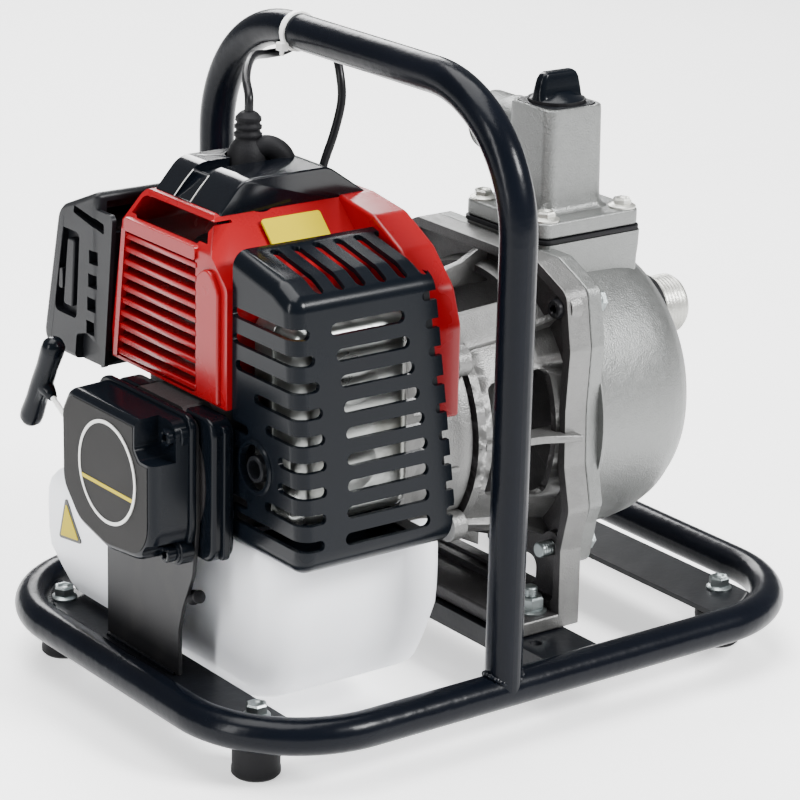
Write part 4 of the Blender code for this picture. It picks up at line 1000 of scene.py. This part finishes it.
def make_bracket():
    arcs = [1, 1, 0, 8, 12, 12, 12, 12, 9, 9, 9, 9, 12, 12, 12, 12, 8, 0]
    plate = tile("plate", BRACKET, arcs, 5, 35, 49)
    tray = [(-84, 44), (63.5, 44), (64.5, 76), (69, 99), (64, 122), (63.5, 152), (65, 184),
        (61, 211), (39.5, 221), (-59.5, 221), (-81, 211), (-85, 184), (-83.5, 152), (-84, 122),
        (-89, 99), (-84.5, 76)]
    tools = [tile("tray", tray, 5, 4, 30, 41.5), crank_rod("bore", 20, 60, 16.5, 56),
        tile("window", [(-62, 46), (42, 46), (42, 62), (-62, 62)], 6, 5, 30, 55)]
    cut(plate, *tools)
    soften(plate, 1.0, 3, 35)
    bell = lathe("bell", [(62, -13.7), (69.5, -13.7), (69.5, -8.5), (66.8, -7), (68, 0), (72, 24),
        (77, 42), (73, 42), (68, 24), (64, 0), (62, -8)], CRANK, RIGHT, 96)
    windows = []
    for turn in (12, 78, 102, 168, 192, 258, 282, 348):
        shape = rounded([(-3, -17), (33, -21), (33, 21), (-3, 17)], 5, 5)
        angle = math.radians(turn)
        loops = []
        for reach in (50, 95):
            loops.append([(x, CRANK_Y + reach * math.cos(angle) - across * math.sin(angle), CRANK_Z
                + reach * math.sin(angle) + across * math.cos(angle)) for x, across in shape])
        windows.append(loft("window", loops))
    cut(bell, *windows)
    soften(bell, 0.8, 2, 35)
    pieces = [plate, bell]
    web = [(-9, 64), (42, 64), (42, 86), (24, 77), (-9, 70)]
    pieces += [soften(spoke("web", turn % 360, web, 2.1), 0.7, 2) for turn in range(45, 405, 45)]
    foot = box("foot", (8, -90, 31.9), (37, 70, 40), 1.4)
    cut(foot, *[rod("hole", (26, y, 25), (26, y, 45), 4.3) for y in (-77, 57)])
    pieces.append(foot)
    for y, z in PUMP_SCREWS:
        pieces.append(lathe("boss", [(4.4, 37.5), (8.4, 37.5), (8.8, 44), (4.4, 44)], (0, y, z),
            RIGHT, 32))
    bracket = show(gather("bracket_cast", pieces), BRACKET_CAST,
        nodes=["pump_bracket"])
    # Painted shade: the bracket's faces turned to the engine and to the crank's axis get the darker
    # cast metal.
    paint_shade_on_inner_faces(bracket, PAINTED_SHADE_CAST)
    hub = lathe("bearing_hub", [(16.6, 30), (24, 30), (25, 31), (27, 42), (16.6, 42)], CRANK, RIGHT,
        64)
    show(hub, BRACKET_CAST)
    for index, (y, z) in enumerate(PUMP_SCREWS):
        if z < 100:
            show(thread(f"stud_end_{index}", (37.5, y, z), (-1, 0, 0), 4.2, 9, 1.5, 0.7), ZINC)
        else:
            show(socket_screw(f"bracket_screw_{index}", (37.5, y, z), (-1, 0, 0), 5, 5, 7),
                LEAD_SKIN)
        show(hex_bolt(f"casing_bolt_{index}", (58.2, y, z), RIGHT, 10, 6.6, 6.0), ZINC)

    fan = lathe("fan_case", [(62.2, -59.5), (64, -59.5), (66, -57.5), (66, -50), (64.8, -48.5),
        (64.8, -24), (66, -22.5), (66, -15), (65, -14.2), (62.2, -14.2)], CRANK, RIGHT, 96)
    rib = [(-50, 63), (-22, 63), (-22, 66), (-50, 66)]
    ribs = [fan] + [spoke("rib", turn, rib, 1.3) for turn in range(9, 369, 30)]
    for y, z in ((-66, 94), (-66, 183), (46, 94)):
        ribs.append(rod("boss", (-24, y, z), (-14.2, y, z), 8, chamfer=0.8))
    show(gather("fan_shell", ribs), BRACKET_CAST, nodes=["fan_housing"])


def make_pump():
    upper = [(-91, 88), (-86, 64), (-72, 62), (-62, 74), (42, 74), (52, 62), (66, 64),
        (71, 88)] + BRACKET[4:16]
    flange = tile("flange", upper, 7, 5, 49.3, 58.2, edge=1.1)
    profile = [(84, 57), (84, 58.4), (82.2, 59.6), (81.2, 62), (81, 84), (80.4, 100), (79, 110),
        (76, 118.5), (71.5, 125.5), (65.5, 130.8), (57, 134.6), (47, 136.6), (40, 137)]
    shell = lathe("shell", [(0, 57)] + profile + [(0, 137)], CRANK, RIGHT, 128, angle=40)
    block = [(52, -47.5), (116.5, -47.5), (116.5, 20.5), (52, 20.5)]
    rows = [(150, 0), (205, 0), (214, -0.2), (219, -0.6), (228.5, -0.9)]
    riser = loft("riser", stack(block, 4, rows, "XY", 5))
    boss = lathe("boss", axial((27, 112), (24.5, 126), (22, 138), (20, 148), (19, 149.5)), INLET,
        RIGHT, 56)
    casing = join(flange, shell, riser, boss)
    soften(casing, 1.8, 4, 32)
    room = axial((72.8, 45), (72.8, 102), (68, 114), (58, 124), (44, 130))
    cut(casing, lathe("room", room, CRANK, RIGHT, 72),
        rod("outlet", (*OUTLET, 180), (*OUTLET, 240), 15, 48),
        rod("inlet", (100, -13, 170), (160, -13, 170), 13, 48))
    show(casing, CAST, nodes=["pump_casing"], sharp=40)
    show(lathe("casing_stud", axial((4.6, 0), (5.4, 1), (5.4, 3), (4, 4)), (117, -2, 221), RIGHT,
        24), LEAD_SKIN)

    gasket = tile("head_gasket", [(49, -48.2), (117.8, -48.2), (117.8, 21.2), (49, 21.2)], 6, 6,
        228.8, 231.2, "XY")
    cut(gasket, rod("hole", (*OUTLET, 220), (*OUTLET, 240), 15.5, 48))
    show(soften(gasket, 0.4, 2), RUBBER, nodes=["outlet_gasket"])
    square = rounded([(49.8, -47.5), (117, -47.5), (117, 20.5), (49.8, 20.5)], 6, 6)
    plate = prism("head_plate", square, 231.5, 240.2, "XY", edge=1.4)
    foot = [(66, -31), (102, -31), (102, 5), (66, 5)]
    rows = [(236, -5.2), (240.3, -4.4), (241.4, -2.8), (243.5, -1.9), (248, -1.5), (270, -1.2),
        (292, -0.9), (294.6, -0.7), (295.2, -0.1)]
    tower = loft("tower", stack(foot, 7, rows, "XY", 8), angle=40)
    port = lathe("port", axial((18.5, 0), (18.5, 14), (17.4, 17), (17.4, 28)), (84, -6, 274), FAR,
        64)
    head = join(plate, tower, port)
    cut(head, tile("recess", inset(foot, 1.4), 7, 8, 291.5, 300, "XY"),
        rod("bore", (*OUTLET, 225), (*OUTLET, 300), 14, 56),
        rod("port_bore", (*OUTLET, 274), (84, 50, 274), 12.5, 56))
    soften(head, 0.6, 2, 38)
    show(head, CAST, nodes=["discharge_head"], sharp=40)
    show(thread("port_thread", (84, 21, 274), FAR, 16.6, 22, 2.3, 1.0, 12.5, 64), CAST)
    pad = tile("tower_pad", inset(foot, 1.7), 7, 8, 291.6, 295.6, "XY")
    cut(pad, rod("hole", (*OUTLET, 280), (*OUTLET, 300), 13.2, 48))
    show(soften(pad, 0.6, 2), BLACK_MATT)
    for index, (x, y) in enumerate(((57.5, -40), (109.5, -40), (57.5, 13), (109.5, 13))):
        show(hex_bolt(f"head_bolt_{index}", (x, y, 240.2), UP, 9, 7.4, 5.0), TARNISHED)

    profile = axial((12.6, 292.5), (12.6, 296), (14.6, 296.4), (14.8, 297), (13.4, 298.2),
        (10, 299.4), (7, 301.4))
    knob = lathe("knob", profile, (*OUTLET, 0), UP, 64)
    loops = []
    for z, half, thick in ((296.5, 15.0, 7.0), (298.5, 14.6, 5.4), (301, 14.4, 4.6),
            (304, 13.8, 4.2), (308, 12.8, 3.8), (310.6, 11.2, 3.2), (311.8, 9.2, 2.2)):
        corners = [(OUTLET[0] + x * half, OUTLET[1] + y * thick)
            for x, y in ((-1, -1), (1, -1), (1, 1), (-1, 1))]
        loops.append(lift(rounded(corners, thick * 0.8, 6), "XY", z))
    wing = loft("wing", loops, angle=50)
    show(gather("plug_knob", [knob, wing]), BLACK_GLOSS, "priming_turn",
        ["priming_plug"], sharp=50)

    profile = [(12.8, 149.6), (19.0, 149.6), (19.4, 150.2), (19.4, 152.6), (17, 153), (15.2, 153.4),
        (15.2, 156), (12.8, 156)]
    show(lathe("sleeve", profile, INLET, RIGHT, 64), RUBBER)
    show(thread("inlet_thread", (154.5, -13, 170), RIGHT, 16.6, 17.5, 2.3, 1.1, 12.8, 64),
        TARNISHED, nodes=["inlet_fitting"])


def make_hidden():
    # The crankcase, impeller, cylinder and flywheel take the darker cast metal: painted shade for
    # the dim inside of the engine.
    dress(PAINTED_SHADE_CAST, "crankcase", "impeller", "cylinder", "flywheel")
    dress(CAST, "piston", "carburettor")
    dress(STEEL, "crank_front", "crank_rear", "bearing_front", "bearing_rear", "starter_cup",
        "wrist_pin", "connecting_rod", "crank_pin", "recoil_spring")
    dress(ZINC, "throttle_lever")
    dress(RUBBER, "mechanical_seal", "fuel_cap_seal", "priming_seal", "inlet_valve")
    dress(BLACK_MATT, "ignition_coil", "air_filter_base", "choke_lever")
    dress(FOAM, "air_filter_element")
    dress(NYLON, "starter_pulley")
    profile = axial((9, 0.3), (9.3, 1.2), (9.2, 3), (8.7, 5), (7.4, 7.6), (5, 9.4), (2, 10))
    bulb = lathe("primer_dome", profile, (CYLINDER_X, 47, 171.7), (0, 0, -1), 48)
    show(bulb, NYLON, nodes=["primer_bulb"], sharp=60)
    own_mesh(bulb)


# ------------------------------------------------------------------ studio

def area_light(name, spot, target, size, power):
    light = bpy.data.lights.new(name, "AREA")
    light.shape = "RECTANGLE"
    light.size, light.size_y = size
    light.energy = power
    obj = bpy.data.objects.new(name, light)
    obj.location = Vector(spot)
    obj.rotation_euler = (Vector(target) - Vector(spot)).to_track_quat("-Z", "Y").to_euler()
    bpy.context.scene.collection.objects.link(obj)


def make_studio():
    bm = bmesh.new()
    bmesh.ops.create_grid(bm, x_segments=4, y_segments=4, size=12)
    floor = finish_mesh("floor", bm)
    floor.data.materials.append(FLOOR)
    world = bpy.data.worlds.new("studio")
    bpy.context.scene.world = world
    world.use_nodes = True
    world.node_tree.nodes["Background"].inputs["Color"].default_value = (1, 1, 1, 1)
    world.node_tree.nodes["Background"].inputs["Strength"].default_value = 0.32
    area_light("key", (1.0, -2.1, 1.9), (0, 0, 0.12), (0.8, 0.6), 175)
    area_light("side_strip", (-2.2, -0.2, 1.0), (0, 0, 0.15), (0.3, 1.6), 40)
    area_light("top_sheet", (-0.2, 0.3, 2.4), (0, 0, 0.0), (2.2, 1.6), 130)
    area_light("rim", (0.9, 1.9, 1.3), (0, 0, 0.2), (1.0, 0.7), 45)

    back = Vector((math.sin(AZIMUTH) * math.cos(ELEVATION), -math.cos(AZIMUTH)
        * math.cos(ELEVATION), math.sin(ELEVATION)))
    right = Vector(UP).cross(back).normalized()
    up = back.cross(right)
    rolled = right * math.cos(ROLL) + up * math.sin(ROLL)
    top = up * math.cos(ROLL) - right * math.sin(ROLL)
    data = bpy.data.cameras.new("photo_view")
    data.lens = LENS
    data.sensor_width = 36
    camera = bpy.data.objects.new("photo_view", data)
    matrix = Matrix((rolled, top, back)).transposed().to_4x4()
    matrix.translation = Vector(CAMERA_SPOT)
    camera.matrix_world = matrix
    bpy.context.scene.collection.objects.link(camera)
    bpy.context.scene.camera = camera


make_studio()
make_frame()
make_starter()
make_case()
make_guard()
make_shroud()
make_cover()
make_spark()
make_filter()
make_tank()
make_bracket()
make_pump()
make_hidden()
